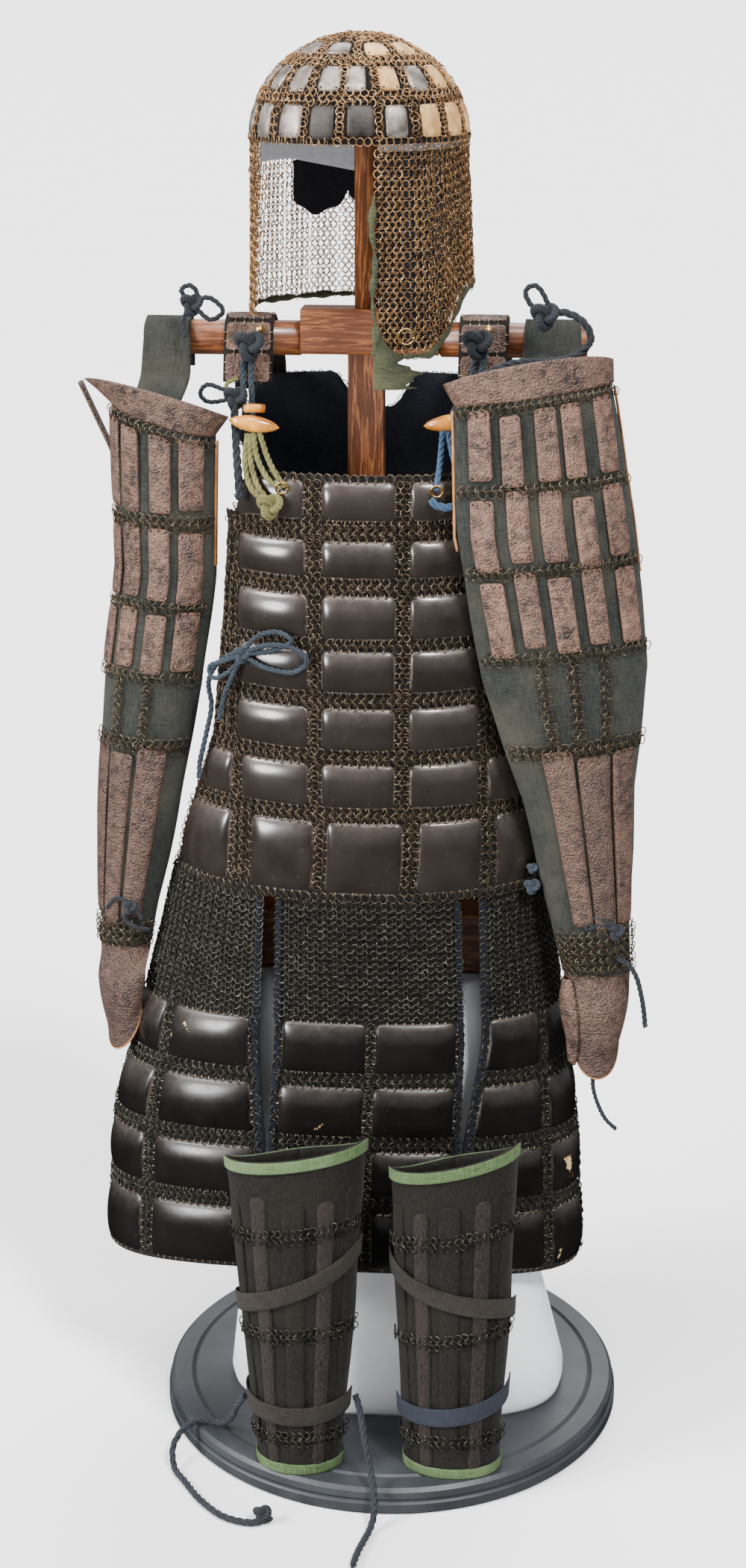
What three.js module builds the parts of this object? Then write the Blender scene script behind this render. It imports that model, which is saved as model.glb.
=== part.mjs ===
// Samurai armour of lacquered plates and mail on cloth, hung on its wooden display stand.
// Millimetres, +Z up, origin in the middle of the stand's foot. The armour faces -Y.
import * as THREE from "three";

// Driving dimensions
const SEAM = 0.3;
const CLOTH = 2;
const FOOT = { radius: 265, height: 30, sides: 32 };
const BAR = { radius: 18, z: 1241, left: -261, right: 200 };
const BLOCK = { x0: -96, x1: 47, depth: 45, z0: 1227, z1: 1273 };
const POLE = { x: -29, width: 37, depth: 30, upper: 12.5 };
const HIP = { x0: -150, x1: 120, depth: 60, z0: 545, z1: 613 };
const PLINTH_TOP = HIP.z0 - SEAM;
const PLATE = { height: 6, inset: 4 };
const WAIST = 664;
const HEM = 226;

const COLOURS = {
  lacquer: [0x2b211c, 0.35, 0.1],
  rough_lacquer: [0x5c4138, 0.7, 0.05],
  hood_plate: [0x6f6250, 0.5, 0.5],
  mail: [0x3f3628, 0.6, 0.7],
  hemp: [0x343a36, 0.95, 0],
  navy: [0x151b28, 0.95, 0],
  lining: [0xa9abb0, 0.9, 0],
  crepe: [0x3a332b, 0.95, 0],
  green: [0x5c7d4a, 0.9, 0],
  tape: [0x4a4238, 0.95, 0],
  cord: [0x25364c, 0.9, 0],
  horn: [0xb3762c, 0.4, 0],
  wood: [0x5b2f1b, 0.5, 0],
  foot_paint: [0x3d3f45, 0.45, 0.2],
  plinth: [0xb9bbbf, 0.8, 0],
};

const materials = {};
for (const [name, [color, roughness, metalness]] of Object.entries(COLOURS)) {
  materials[name] = new THREE.MeshStandardMaterial({ color, roughness, metalness });
}

const armour = new THREE.Group();

function add(name, geometry, material) {
  const mesh = new THREE.Mesh(geometry, materials[material]);
  mesh.name = name;
  armour.add(mesh);
}

// Reads a table at any height between its rows. The rows go up in z.
function rowAt(table, z) {
  let low = 0;
  while (low < table.length - 2 && z > table[low + 1].z) low += 1;
  const from = table[low];
  const to = table[low + 1];
  const share = THREE.MathUtils.clamp((z - from.z) / (to.z - from.z), 0, 1);
  const row = {};
  for (const key of Object.keys(from)) row[key] = THREE.MathUtils.lerp(from[key], to[key], share);
  return row;
}

const mix = THREE.MathUtils.lerp;
const radians = THREE.MathUtils.degToRad;

// A point on an oval section seen from above, moved out by a distance.
// Angle 0 is the front and a quarter turn on is the viewer's right.
function ovalPoint(section, angle, z, out) {
  const depth = Math.cos(angle) > 0 ? section.front : section.back;
  const sideways = Math.sin(angle);
  const forward = -Math.cos(angle);
  const normal = new THREE.Vector2(sideways / section.half, forward / depth).normalize();
  const point = new THREE.Vector2(sideways * section.half, forward * depth);
  point.addScaledVector(normal, out);
  point.rotateAround(new THREE.Vector2(), radians(section.turn ?? 0));
  return new THREE.Vector3(section.x + point.x, (section.y ?? 0) + point.y, z);
}

// Walls: closed sheets of cloth, mail or plates

// Lines across a wall of plates: two raised lines on each plate and one low line between plates.
function plateLines(start, end, bands, inset, plain = []) {
  const lines = [{ at: start }, { at: end }];
  plain.forEach((at) => lines.push({ at }));
  bands.forEach(([from, to], band) => {
    const before = band ? bands[band - 1][1] : start;
    if (from > start) lines.push({ at: band ? (from + before) / 2 : from });
    lines.push({ at: from + inset, band });
    lines.push({ at: to - inset, band });
    if (band === bands.length - 1 && to < end) lines.push({ at: to });
  });
  return lines.sort((a, b) => a.at - b.at);
}

function plainLines(start, end, count) {
  const lines = [];
  for (let k = 0; k <= count; k += 1) lines.push({ at: mix(start, end, k / count) });
  return lines;
}

function equalBands(start, width, gap, count) {
  const bands = [];
  for (let k = 0; k < count; k += 1) {
    const from = start + k * (width + gap);
    bands.push([from, from + width]);
  }
  return bands;
}

const raised = (column, row) => column.band !== undefined && row.band !== undefined;

// Keeps the first and last line and every few between, for the plain inside.
function coarse(lines, step) {
  return lines.filter((line, k) => k % step === 0 || k === lines.length - 1);
}

// A closed wall between an outer grid and a coarser inner grid.
// place(column, row, inside) gives each point. A capped wall ends in one point.
function wall({ columns, rows, place, closed = false, capped = false, skip = 3, skipRows = skip }) {
  const points = [];
  const faces = [];
  const innerColumns = closed
    ? columns.filter((line, k) => k % skip === 0)
    : coarse(columns, skip);
  const innerRows = coarse(rows, skipRows);
  const makeGrid = (gridColumns, gridRows, inside) =>
    gridRows.map((row, j) => {
      const pole = capped && j === gridRows.length - 1;
      if (pole) points.push(place(gridColumns[0], row, inside));
      return gridColumns.map((column) => {
        if (!pole) points.push(place(column, row, inside));
        return points.length - 1;
      });
    });
  const outer = makeGrid(columns, rows, false);
  const inner = makeGrid(innerColumns, innerRows, true);
  const face = (a, b, c) => {
    if (a !== b && b !== c && c !== a) faces.push(a, b, c);
  };
  const fill = (grid, turned) => {
    const wide = grid[0].length;
    const last = closed ? wide : wide - 1;
    for (let j = 0; j < grid.length - 1; j += 1) {
      for (let i = 0; i < last; i += 1) {
        const a = grid[j][i];
        const b = grid[j][(i + 1) % wide];
        const c = grid[j + 1][(i + 1) % wide];
        const d = grid[j + 1][i];
        if (turned) {
          face(a, c, b);
          face(a, d, c);
        } else {
          face(a, b, c);
          face(a, c, d);
        }
      }
    }
  };
  fill(outer, false);
  fill(inner, true);
  // A strip of triangles between the outer rim and the coarser inner rim
  const strip = (outerIds, outerAt, innerIds, innerAt, turned) => {
    let i = 0;
    let k = 0;
    while (i < outerIds.length - 1 || k < innerIds.length - 1) {
      const nextOuter = i + 1 < outerIds.length ? outerAt[i + 1] : Infinity;
      const nextInner = k + 1 < innerIds.length ? innerAt[k + 1] : Infinity;
      const outerStep = nextOuter <= nextInner;
      const a = outerIds[i];
      const b = innerIds[k];
      const c = outerStep ? outerIds[i + 1] : innerIds[k + 1];
      if (outerStep === turned) face(a, outerStep ? c : b, outerStep ? b : c);
      else face(outerStep ? c : a, outerStep ? a : c, b);
      if (outerStep) i += 1;
      else k += 1;
    }
  };
  const rim = (grid, j) => (closed ? [...grid[j], grid[j][0]] : grid[j]);
  const along = (lines) => lines.map((line) => Math.abs(line.at - lines[0].at));
  const rimAt = (lines) => (closed ? [...along(lines), 360] : along(lines));
  const ends = capped ? [0] : [0, -1];
  for (const end of ends) {
    const j = end === 0 ? 0 : rows.length - 1;
    const innerJ = end === 0 ? 0 : innerRows.length - 1;
    strip(rim(outer, j), rimAt(columns), rim(inner, innerJ), rimAt(innerColumns), end === -1);
  }
  if (!closed) {
    const side = (grid, i) => grid.map((row) => row[i < 0 ? row.length - 1 : 0]);
    strip(side(outer, 0), along(rows), side(inner, 0), along(innerRows), true);
    strip(side(outer, -1), along(rows), side(inner, -1), along(innerRows), false);
  }
  return solid(points, faces);
}

// Turns points and faces into a geometry whose faces point out.
function solid(points, faces) {
  let volume = 0;
  for (let k = 0; k < faces.length; k += 3) {
    const [a, b, c] = [points[faces[k]], points[faces[k + 1]], points[faces[k + 2]]];
    volume += a.dot(new THREE.Vector3().crossVectors(b, c));
  }
  if (volume < 0) faces.reverse();
  const geometry = new THREE.BufferGeometry().setFromPoints(points);
  geometry.setIndex(faces);
  geometry.computeVertexNormals();
  return geometry;
}

// A solid through horizontal oval or squarish sections, flat at both ends.
function loft(sections, sides, squareness) {
  const points = [];
  const faces = [];
  for (const section of sections) {
    for (let k = 0; k < sides; k += 1) {
      const angle = (2 * Math.PI * (k + 0.5)) / sides;
      const bend = (value) => Math.sign(value) * Math.abs(value) ** squareness;
      const x = section.x + section.half * bend(Math.sin(angle));
      const y = section.y - section.depth * bend(Math.cos(angle));
      points.push(new THREE.Vector3(x, y, section.z));
    }
  }
  const last = (sections.length - 1) * sides;
  for (let k = 1; k < sides - 1; k += 1) {
    faces.push(0, k + 1, k);
    faces.push(last, last + k, last + k + 1);
  }
  for (let j = 0; j < sections.length - 1; j += 1) {
    for (let k = 0; k < sides; k += 1) {
      const a = j * sides + k;
      const b = j * sides + ((k + 1) % sides);
      faces.push(a, b, b + sides);
      faces.push(a, b + sides, a + sides);
    }
  }
  return solid(points, faces);
}

// A round tube along a list of points, with a step every few diameters.
function tube(points, diameter, steps, sides = 8) {
  const curve = new THREE.CatmullRomCurve3(points.map(([x, y, z]) => new THREE.Vector3(x, y, z)));
  const outline = [];
  for (let k = 0; k < sides; k += 1) {
    const angle = (2 * Math.PI * k) / sides;
    outline.push(new THREE.Vector2(Math.cos(angle), Math.sin(angle)).multiplyScalar(diameter / 2));
  }
  const options = { steps, extrudePath: curve, bevelEnabled: false };
  return new THREE.ExtrudeGeometry(new THREE.Shape(outline), options);
}

// A box with chamfered long edges, along X.
function beam(x0, x1, depth, z0, z1, chamfer, y = 0) {
  const outline = new THREE.Shape();
  const [back, front] = [depth / 2, -depth / 2];
  outline.moveTo(front + chamfer, z0);
  outline.lineTo(back - chamfer, z0);
  outline.lineTo(back, z0 + chamfer);
  outline.lineTo(back, z1 - chamfer);
  outline.lineTo(back - chamfer, z1);
  outline.lineTo(front + chamfer, z1);
  outline.lineTo(front, z1 - chamfer);
  outline.lineTo(front, z0 + chamfer);
  const geometry = new THREE.ExtrudeGeometry(outline, { depth: x1 - x0, bevelEnabled: false });
  geometry.rotateX(Math.PI / 2);
  geometry.rotateZ(Math.PI / 2);
  return geometry.translate(x0, y, 0);
}

// Display stand
function buildStand() {
  const { radius, height, sides } = FOOT;
  const groove = 4;
  const profile = [
    [0, 0],
    [radius - 3, 0],
    [radius, 3],
    [radius, 13],
    [radius - groove, 16],
    [radius - 2, 19],
    [radius - 7, height],
    [radius - 27, height],
    [radius - 30, height - 2],
    [radius - 33, height],
    [0, height],
  ].map(([r, z]) => new THREE.Vector2(r, z));
  const foot = new THREE.LatheGeometry(profile, sides);
  foot.rotateX(Math.PI / 2);
  add("base_disc", foot, "foot_paint");

  const body = [
    { z: height + SEAM, x: 8, y: -8, half: 192, depth: 110 },
    { z: height + 14, x: 8, y: -8, half: 195, depth: 114 },
    { z: 150, x: 0, y: -6, half: 176, depth: 104 },
    { z: HEM, x: -14, y: -4, half: 160, depth: 96 },
    { z: PLINTH_TOP - 40, x: -20, y: -2, half: 140, depth: 86 },
    { z: PLINTH_TOP, x: -20, y: -2, half: 128, depth: 76 },
  ];
  add("plinth", loft(body, 24, 0.7), "plinth");
  add("hip_board", beam(HIP.x0, HIP.x1, HIP.depth, HIP.z0, HIP.z1, 3), "wood");
  const pole = new THREE.BoxGeometry(POLE.width, POLE.depth, BLOCK.z0 - HIP.z1 - 2 * SEAM);
  pole.translate(POLE.x, 0, (BLOCK.z0 + HIP.z1) / 2);
  add("pole_lower", pole, "wood");
  add("shoulder_block", beam(BLOCK.x0, BLOCK.x1, BLOCK.depth, BLOCK.z0, BLOCK.z1, 3), "wood");
  const bars = [
    ["shoulder_bar_left", BAR.left, BLOCK.x0 - SEAM],
    ["shoulder_bar_right", BLOCK.x1 + SEAM, BAR.right],
  ];
  for (const [name, from, to] of bars) {
    const bar = new THREE.CylinderGeometry(BAR.radius, BAR.radius, to - from, 16);
    bar.rotateZ(Math.PI / 2);
    bar.translate((from + to) / 2, 0, BAR.z);
    add(name, bar, "wood");
  }
  const turned = [
    [0, BLOCK.z1 + SEAM],
    [POLE.upper, BLOCK.z1 + SEAM],
    [POLE.upper, HOOD.rim + 20],
    [34, HOOD.rim + 32],
    [58, HOOD.rim + 46],
    [50, HOOD.rim + 64],
    [20, HOOD.rim + 81],
    [0, HOOD.rim + HOOD.height - 7.6],
  ].map(([r, z]) => new THREE.Vector2(r, z));
  const post = new THREE.LatheGeometry(turned, 16);
  post.rotateX(Math.PI / 2);
  post.translate(POLE.x, 0, 0);
  add("head_post", post, "wood");
}

// Cuirass: a front and a back of plates in columns, hung from the bar by two straps

const TORSO = [
  { z: 660, x: -33, half: 209, front: 127, back: 128, reach: 203 },
  { z: 711, x: -29, half: 204, front: 127, back: 124, reach: 198 },
  { z: 831, x: -28, half: 186, front: 127, back: 122, reach: 160 },
  { z: 973, x: -27, half: 174, front: 124, back: 120, reach: 147 },
  { z: 1080, x: -27, half: 168, front: 115, back: 114, reach: 140 },
  { z: 1200, x: -27, half: 186, front: 104, back: 104, reach: 150 },
];
const TORSO_COLUMNS = [[-192, -133], [-129, -58], [-38, 38], [52, 122], [133, 192]];
const TORSO_ROWS = [
  [672, 752],
  [768, 816],
  [831, 877],
  [893, 938],
  [950, 996],
  [1013, 1052],
  [1072, 1112],
];
const FRONT_TOP = 1118;
const BACK_TOP = 1192;
const INNER_COLUMNS = 125;
const FLAT_HALF = 200;
const WIDE_ROWS = 2;

// The panel's middle keeps its width, and its outer columns take up the change of width.
function torsoAngle(at, section) {
  const beyond = Math.max(0, Math.abs(at) - INNER_COLUMNS);
  const stretch = (section.reach - INNER_COLUMNS) / (FLAT_HALF - INNER_COLUMNS);
  const offset = Math.min(Math.abs(at), INNER_COLUMNS) + beyond * stretch;
  return Math.sign(at) * Math.asin(offset / section.half);
}

const TORSO_LINES = plateLines(-FLAT_HALF, FLAT_HALF, TORSO_COLUMNS, PLATE.inset);
const TORSO_SKIP = 3;

function torsoPanel({ rows, dropAt, back, inner, outer }) {
  return wall({
    columns: TORSO_LINES,
    rows,
    skip: TORSO_SKIP,
    place: (column, row, inside) => {
      const section = rowAt(TORSO, row.at);
      const angle = torsoAngle(column.at, section);
      const outermost = column.band === 0 || column.band === TORSO_COLUMNS.length - 1;
      const has = row.band < WIDE_ROWS || !outermost;
      const lift = raised(column, row) && has ? PLATE.height : 0;
      const out = inside ? inner : outer + lift;
      const z = row.at - dropAt(column.at, row.at);
      return ovalPoint(section, back ? Math.PI - angle : angle, z, out);
    },
  });
}

const smoothStep = (value, from, to) => THREE.MathUtils.smoothstep(value, from, to);

function frontDrop(at, z) {
  const shoulder = smoothStep(Math.abs(at), 105, 160);
  return 46 * shoulder * smoothStep(z, 1052, FRONT_TOP);
}

function backDrop(at, z) {
  const notch = 38 * (1 - smoothStep(Math.abs(at), 16, 48));
  const shoulder = 60 * smoothStep(Math.abs(at), 120, 190);
  return (notch + shoulder) * smoothStep(z, 1112, BACK_TOP);
}

function buildCuirass() {
  const frontRows = plateLines(WAIST, FRONT_TOP, TORSO_ROWS, PLATE.inset);
  const front = { rows: frontRows, dropAt: frontDrop, back: false, inner: -CLOTH, outer: 0 };
  add("cuirass_front", torsoPanel(front), "lacquer");

  const backBands = [...TORSO_ROWS, [1122, 1166]];
  const backRows = plateLines(WAIST, BACK_TOP, backBands, PLATE.inset);
  const back = { rows: backRows, dropAt: backDrop, back: true, inner: -CLOTH, outer: 0 };
  add("cuirass_back", torsoPanel(back), "lacquer");

  const lining = wall({
    columns: coarse(TORSO_LINES, TORSO_SKIP),
    rows: coarse(backRows, TORSO_SKIP),
    skip: 1,
    place: (column, row, inside) => {
      const section = rowAt(TORSO, row.at);
      const angle = Math.PI - torsoAngle(column.at, section);
      const out = -CLOTH - 2 * SEAM - (inside ? 1.5 : 0);
      return ovalPoint(section, angle, row.at - backDrop(column.at, row.at), out);
    },
  });
  add("back_lining", lining, "navy");
}

// A strip of cloth or plates over the shoulder bar, along a curve in the YZ plane.
// One end lies on another piece: land(x, z, out) is a point there, and weight(at) its share.
function overBar({ path, x0, x1, spread = 0, thickness, rows, columns, land, weight }) {
  const curve = new THREE.CatmullRomCurve3(path.map(([y, z]) => new THREE.Vector3(0, y, z)));
  return wall({
    columns,
    rows,
    skip: 1,
    place: (column, row, inside) => {
      const point = curve.getPointAt(row.at);
      const along = curve.getTangentAt(row.at);
      const lift = raised(column, row) ? 1.5 : 0;
      const out = inside ? 0 : thickness + lift;
      const grow = spread * (1 - row.at);
      const x = mix(x0 - grow, x1 + grow, column.at);
      const free = new THREE.Vector3(x, point.y - along.z * out, point.z + along.y * out);
      return free.lerp(land(x, point.z, out), weight(row.at));
    },
  });
}

const STRAP_INSIDE = BAR.radius + 3.2;
const FLAP_INSIDE = BAR.radius + 2.1;
const STRAPS = [
  { side: "left", x0: -175, x1: -124 },
  { side: "right", x0: 68, x1: 119 },
];
const STRAP_PATH = [
  [-36, 1200],
  [-30, 1222],
  [-STRAP_INSIDE, BAR.z],
  [-STRAP_INSIDE * 0.72, BAR.z + STRAP_INSIDE * 0.72],
  [0, BAR.z + STRAP_INSIDE],
  [STRAP_INSIDE * 0.8, BAR.z + STRAP_INSIDE * 0.72],
  [40, 1238],
  [66, 1208],
  [84, 1176],
];
const STRAP_BANDS = [[0, 0.14], [0.16, 0.3], [0.33, 0.48], [0.51, 0.66], [0.69, 0.84]];

// A point on the outside of the cuirass back at a width across and a height
function backPoint(x, z, out) {
  const section = rowAt(TORSO, z);
  const angle = Math.PI - Math.asin((x - section.x) / section.half);
  return ovalPoint(section, angle, z, out + 1.7);
}

function buildStraps() {
  const rows = plateLines(0, 1, STRAP_BANDS, 0.015, [0.92]);
  for (const { side, x0, x1 } of STRAPS) {
    const strap = overBar({
      path: STRAP_PATH,
      x0,
      x1,
      thickness: 3,
      rows,
      columns: plateLines(0, 1, [[0.06, 0.94]], 0.06),
      land: backPoint,
      weight: (at) => smoothStep(at, 0.6, 0.92),
    });
    add("strap_" + side, strap, "rough_lacquer");
  }
  const toggle = (name, x, z, tilt) => {
    const profile = [
      [0, -27],
      [4, -22],
      [8, -8],
      [8.5, 4],
      [4.5, 20],
      [0, 26],
    ].map(([r, along]) => new THREE.Vector2(r, along));
    const horn = new THREE.LatheGeometry(profile, 12);
    horn.rotateZ(Math.PI / 2 + radians(tilt));
    horn.translate(x, -67.2, z);
    add(name, horn, "horn");
  };
  toggle("toggle_left", -140, 1162, -8);
  toggle("toggle_right", 62, 1166, 8);
  const cordLeft = [
    [-147, -35.5, 1236],
    [-149, -41, 1216],
    [-148, -48, 1192],
    [-146, -53, 1166],
    [-143, -60, 1145],
    [-138, -88, 1122],
    [-130, -100, 1106],
    [-120, -107.5, 1088],
  ];
  add("cord_shoulder_left", tube(cordLeft, 8, 10), "cord");
  const cordRight = [
    [92, -35.5, 1236],
    [88, -41, 1216],
    [78, -48, 1192],
    [66, -53, 1168],
    [58, -61, 1148],
    [54, -104, 1124],
    [53, -110.5, 1108],
    [56, -113.5, 1090],
  ];
  add("cord_shoulder_right", tube(cordRight, 8, 10), "cord");
}

// Skirt: six hanging panels below the cuirass, with a mail band and four rows of plates

const SKIRT = [
  { z: 150, x: -57, half: 276, front: 138, back: 142 },
  { z: HEM, x: -57, half: 275, front: 138, back: 142 },
  { z: 276, x: -56, half: 272, front: 137, back: 141 },
  { z: 382, x: -55, half: 264, front: 134, back: 139 },
  { z: 453, x: -50, half: 248, front: 132, back: 136 },
  { z: 606, x: -39, half: 216, front: 128, back: 130 },
  { z: 662, x: -33, half: 208, front: 126, back: 127 },
];
const SKIRT_ROWS = [
  [230, 299],
  [316, 373],
  [390, 449],
  [465, 524],
];
// Edges of the two open slits in the front, and of the two closed ones in the back
const SLITS = [
  { z: HEM, leftOuter: -131, leftInner: -128, rightInner: 84, rightOuter: 87 },
  { z: 379, leftOuter: -131, leftInner: -127, rightInner: 83, rightOuter: 87 },
  { z: 500, leftOuter: -137, leftInner: -119, rightInner: 86, rightOuter: 106 },
  { z: 662, leftOuter: -131, leftInner: -116, rightInner: 79, rightOuter: 100 },
];
const SIDE_DROP = 34;
const SIDE_SEAM = 0.1;

const skirtAngle = (x, section) => Math.asin((x - section.x) / section.half);

// The hem hangs lower at the sides than in front.
function hangAt(angle, z) {
  const share = (662 - z) / (662 - HEM);
  return z - SIDE_DROP * share * Math.sin(angle) ** 2;
}

// Each panel runs from one angle to another, both given by height.
const SKIRT_PANELS = [
  {
    name: "skirt_front_middle",
    from: (slit, section) => skirtAngle(slit.leftInner, section),
    to: (slit, section) => skirtAngle(slit.rightInner, section),
    bands: [[0.05, 0.48], [0.52, 0.95]],
  },
  {
    name: "skirt_front_left",
    from: (slit, section) => skirtAngle(slit.leftOuter, section),
    to: () => -radians(90 - SIDE_SEAM),
    bands: [[0.06, 0.47], [0.55, 0.9]],
  },
  {
    name: "skirt_front_right",
    from: (slit, section) => skirtAngle(slit.rightOuter, section),
    to: () => radians(90 - SIDE_SEAM),
    bands: [[0.06, 0.47], [0.55, 0.9]],
  },
];

function skirtPlace(panel, back, at, z, out) {
  const section = rowAt(SKIRT, z);
  const slit = rowAt(SLITS, back ? HEM : z);
  const angle = mix(panel.from(slit, section), panel.to(slit, section), at);
  return ovalPoint(section, back ? Math.PI - angle : angle, hangAt(angle, z), out);
}

function buildSkirt() {
  const rows = plateLines(HEM, WAIST - SEAM, SKIRT_ROWS, 14, [570, 616]);
  for (const back of [false, true]) {
    for (const panel of SKIRT_PANELS) {
      const columns = plateLines(0, 1, panel.bands, 0.05);
      const place = (column, row, inside) => {
        const lift = raised(column, row) ? PLATE.height + 1 : 0;
        return skirtPlace(panel, back, column.at, row.at, inside ? -CLOTH : lift);
      };
      const name = back ? panel.name.replace("front", "back") : panel.name;
      add(name, wall({ columns, rows, place, skip: 4 }), "lacquer");
    }
  }
}

// A tape up one edge of a slit, over its top and down the other edge.
function buildSlitBindings() {
  const [middle, left, right] = SKIRT_PANELS;
  const slits = [
    { side: "left", outerPanel: left, middleEnd: 0 },
    { side: "right", outerPanel: right, middleEnd: 1 },
  ];
  const width = 8;
  for (const back of [false, true]) {
    for (const { side, outerPanel, middleEnd } of slits) {
      const place = (column, row, inside) => {
        const onMiddle = row.at > 0.5;
        const upward = onMiddle ? 1 - row.at : row.at;
        const z = mix(HEM + 2, WAIST - 5, Math.min(1, upward / 0.49));
        const section = rowAt(SKIRT, z);
        const slit = rowAt(SLITS, back ? HEM : z);
        const panel = onMiddle ? middle : outerPanel;
        const length = Math.abs(panel.to(slit, section) - panel.from(slit, section)) * 190;
        const share = (width * column.at) / length;
        const at = onMiddle ? Math.abs(middleEnd - share) : share;
        const out = 1 + (inside ? 0 : 1.2);
        return skirtPlace(panel, back, at, z, out);
      };
      const rows = [];
      for (const at of [0, 0.1, 0.2, 0.3, 0.4, 0.49, 0.51, 0.6, 0.7, 0.8, 0.9, 1]) rows.push({ at });
      const columns = [{ at: 0 }, { at: 1 }];
      const name = "slit_binding_" + (back ? "back_" : "front_") + side;
      add(name, wall({ columns, rows, place, skip: 1 }), "navy");
    }
  }
}

// Hood: a crown of small plates on mail, its lining, and a mail curtain open at the face

const HOOD = { x: -36, half: 108, depth: 116, turn: -18, rim: 1443, height: 100 };

function crownPoint(angle, latitude, out) {
  const ring = Math.cos(latitude);
  const section = {
    x: HOOD.x,
    half: Math.max(HOOD.half * ring, 0.001),
    front: Math.max(HOOD.depth * ring, 0.001),
    back: Math.max(HOOD.depth * ring, 0.001),
    turn: HOOD.turn,
  };
  const z = HOOD.rim + (HOOD.height + out) * Math.sin(latitude);
  return ovalPoint(section, angle, z, out * ring);
}

const CURTAIN = [
  { z: 1180, half: 116, depth: 118 },
  { z: 1300, half: 113, depth: 117 },
  { z: 1443, half: 108, depth: 116 },
];
const CURTAIN_GAP = { right: 32, left: -40 };
// Lowest edge of the curtain by the angle round the hood, from the face opening to the back
const CURTAIN_HEM = [
  { z: 0, hem: 1238 },
  { z: 60, hem: 1236 },
  { z: 95, hem: 1292 },
  { z: 130, hem: 1300 },
  { z: 180, hem: 1272 },
];

const LEFT_HEM = 1272;

function curtainPoint(degrees, z, out) {
  const row = rowAt(CURTAIN, z);
  const section = { x: HOOD.x, half: row.half, front: row.depth, back: row.depth, turn: HOOD.turn };
  const wave = 2.5 * Math.sin(radians(degrees * 7)) * (1 - smoothStep(z, 1300, HOOD.rim));
  return ovalPoint(section, radians(degrees), z, out + wave);
}

function buildHood() {
  const crownColumns = [];
  for (let k = 0; k < 12; k += 1) {
    crownColumns.push({ at: 30 * k });
    crownColumns.push({ at: 30 * k + 6, band: k });
    crownColumns.push({ at: 30 * k + 24, band: k });
  }
  const crownRows = plateLines(0, 90, [[4, 22], [29, 46], [53, 68]], 4);
  const crown = wall({
    columns: crownColumns,
    rows: crownRows,
    closed: true,
    capped: true,
    skip: 3,
    place: (column, row, inside) => {
      const out = inside ? -3 : raised(column, row) ? 2.5 : 0;
      return crownPoint(radians(column.at), radians(row.at), out);
    },
  });
  add("hood_crown", crown, "hood_plate");

  const lining = wall({
    columns: crownColumns.filter((line, k) => k % 3 === 0),
    rows: coarse(crownRows, 3),
    closed: true,
    capped: true,
    skip: 1,
    place: (column, row, inside) =>
      crownPoint(radians(column.at), radians(row.at), inside ? -6 : -3 - 3 * SEAM),
  });
  add("hood_lining", lining, "lining");

  const rag = wall({
    columns: plainLines(135, 235, 10),
    rows: plainLines(0, 1, 2),
    skip: 1,
    place: (column, row, inside) => {
      const ragged = 1362 + 7 * Math.sin(radians(column.at * 9));
      const z = mix(ragged, HOOD.rim - SEAM, row.at);
      return curtainPoint(column.at, z, inside ? -6.4 : -4.6);
    },
  });
  add("hood_rag", rag, "navy");

  const curtains = [
    { name: "curtain_right", from: CURTAIN_GAP.right, to: 179.8 },
    { name: "curtain_left", from: CURTAIN_GAP.left, to: -179.8 },
  ];
  for (const { name, from, to } of curtains) {
    const curtain = wall({
      columns: plainLines(from, to, 16),
      rows: plainLines(0, 1, 4),
      skip: 2,
      place: (column, row, inside) => {
        const side = Math.abs(column.at);
        const hem = name === "curtain_right" ? rowAt(CURTAIN_HEM, side).hem : LEFT_HEM;
        const z = mix(hem, HOOD.rim - SEAM, row.at);
        return curtainPoint(column.at, z, inside ? -1.5 : 1);
      },
    });
    add(name, curtain, "mail");
  }

  // Torn cloth binding down the front edge, wider where it hangs below the mail
  const edge = wall({
    columns: plainLines(0, 1, 3),
    rows: plainLines(1208, HOOD.rim - 8, 7),
    skip: 1,
    place: (column, row, inside) => {
      const width = mix(22, 7, smoothStep(row.at, 1215, 1270));
      const degrees = CURTAIN_GAP.right - 1.5 + width * column.at;
      const lift = row.at < 1240 ? 5 * Math.sin(column.at * 3) : 0;
      return curtainPoint(degrees, row.at, 1 + SEAM + lift + (inside ? 0 : 2));
    },
  });
  add("curtain_binding", edge, "hemp");
}

// Sleeves: cloth tubes with plates, hung from the ends of the bar

const SLEEVES = [
  {
    side: "left",
    turn: -12,
    rows: [[1067, 1150], [974, 1052], [896, 962], [600, 804]],
    slant: -3,
    tilt: -16,
    table: [
      { z: 566, inner: -272, outer: -330, y: -8, depth: 26 },
      { z: 613, inner: -264, outer: -328, y: -8, depth: 30 },
      { z: 723, inner: -238, outer: -323, y: -18, depth: 34 },
      { z: 878, inner: -204, outer: -311, y: -30, depth: 38 },
      { z: 1003, inner: -186, outer: -290, y: -40, depth: 38 },
      { z: 1162, inner: -181, outer: -290, y: -45, depth: 38 },
    ],
    collar: { shift: -6, widen: 20 },
    hand: { x: -300, y: -22, turn: -48 },
    flap: { x0: -256, x1: -214 },
  },
  {
    side: "right",
    turn: 17,
    rows: [[1117, 1190], [1033, 1106], [942, 1022], [622, 825]],
    slant: 5,
    tilt: 10,
    table: [
      { z: 566, inner: 192, outer: 264, y: -50, depth: 26 },
      { z: 630, inner: 178, outer: 263, y: -55, depth: 28 },
      { z: 777, inner: 143, outer: 262, y: -72, depth: 28 },
      { z: 910, inner: 101, outer: 273, y: -82, depth: 30 },
      { z: 1065, inner: 72, outer: 251, y: -94, depth: 30 },
      { z: 1200, inner: 68, outer: 226, y: -88, depth: 30 },
    ],
    collar: { shift: -7, widen: 2 },
    hand: { x: 228, y: -52, turn: 14 },
    flap: { x0: 138, x1: 190 },
  },
];

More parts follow.
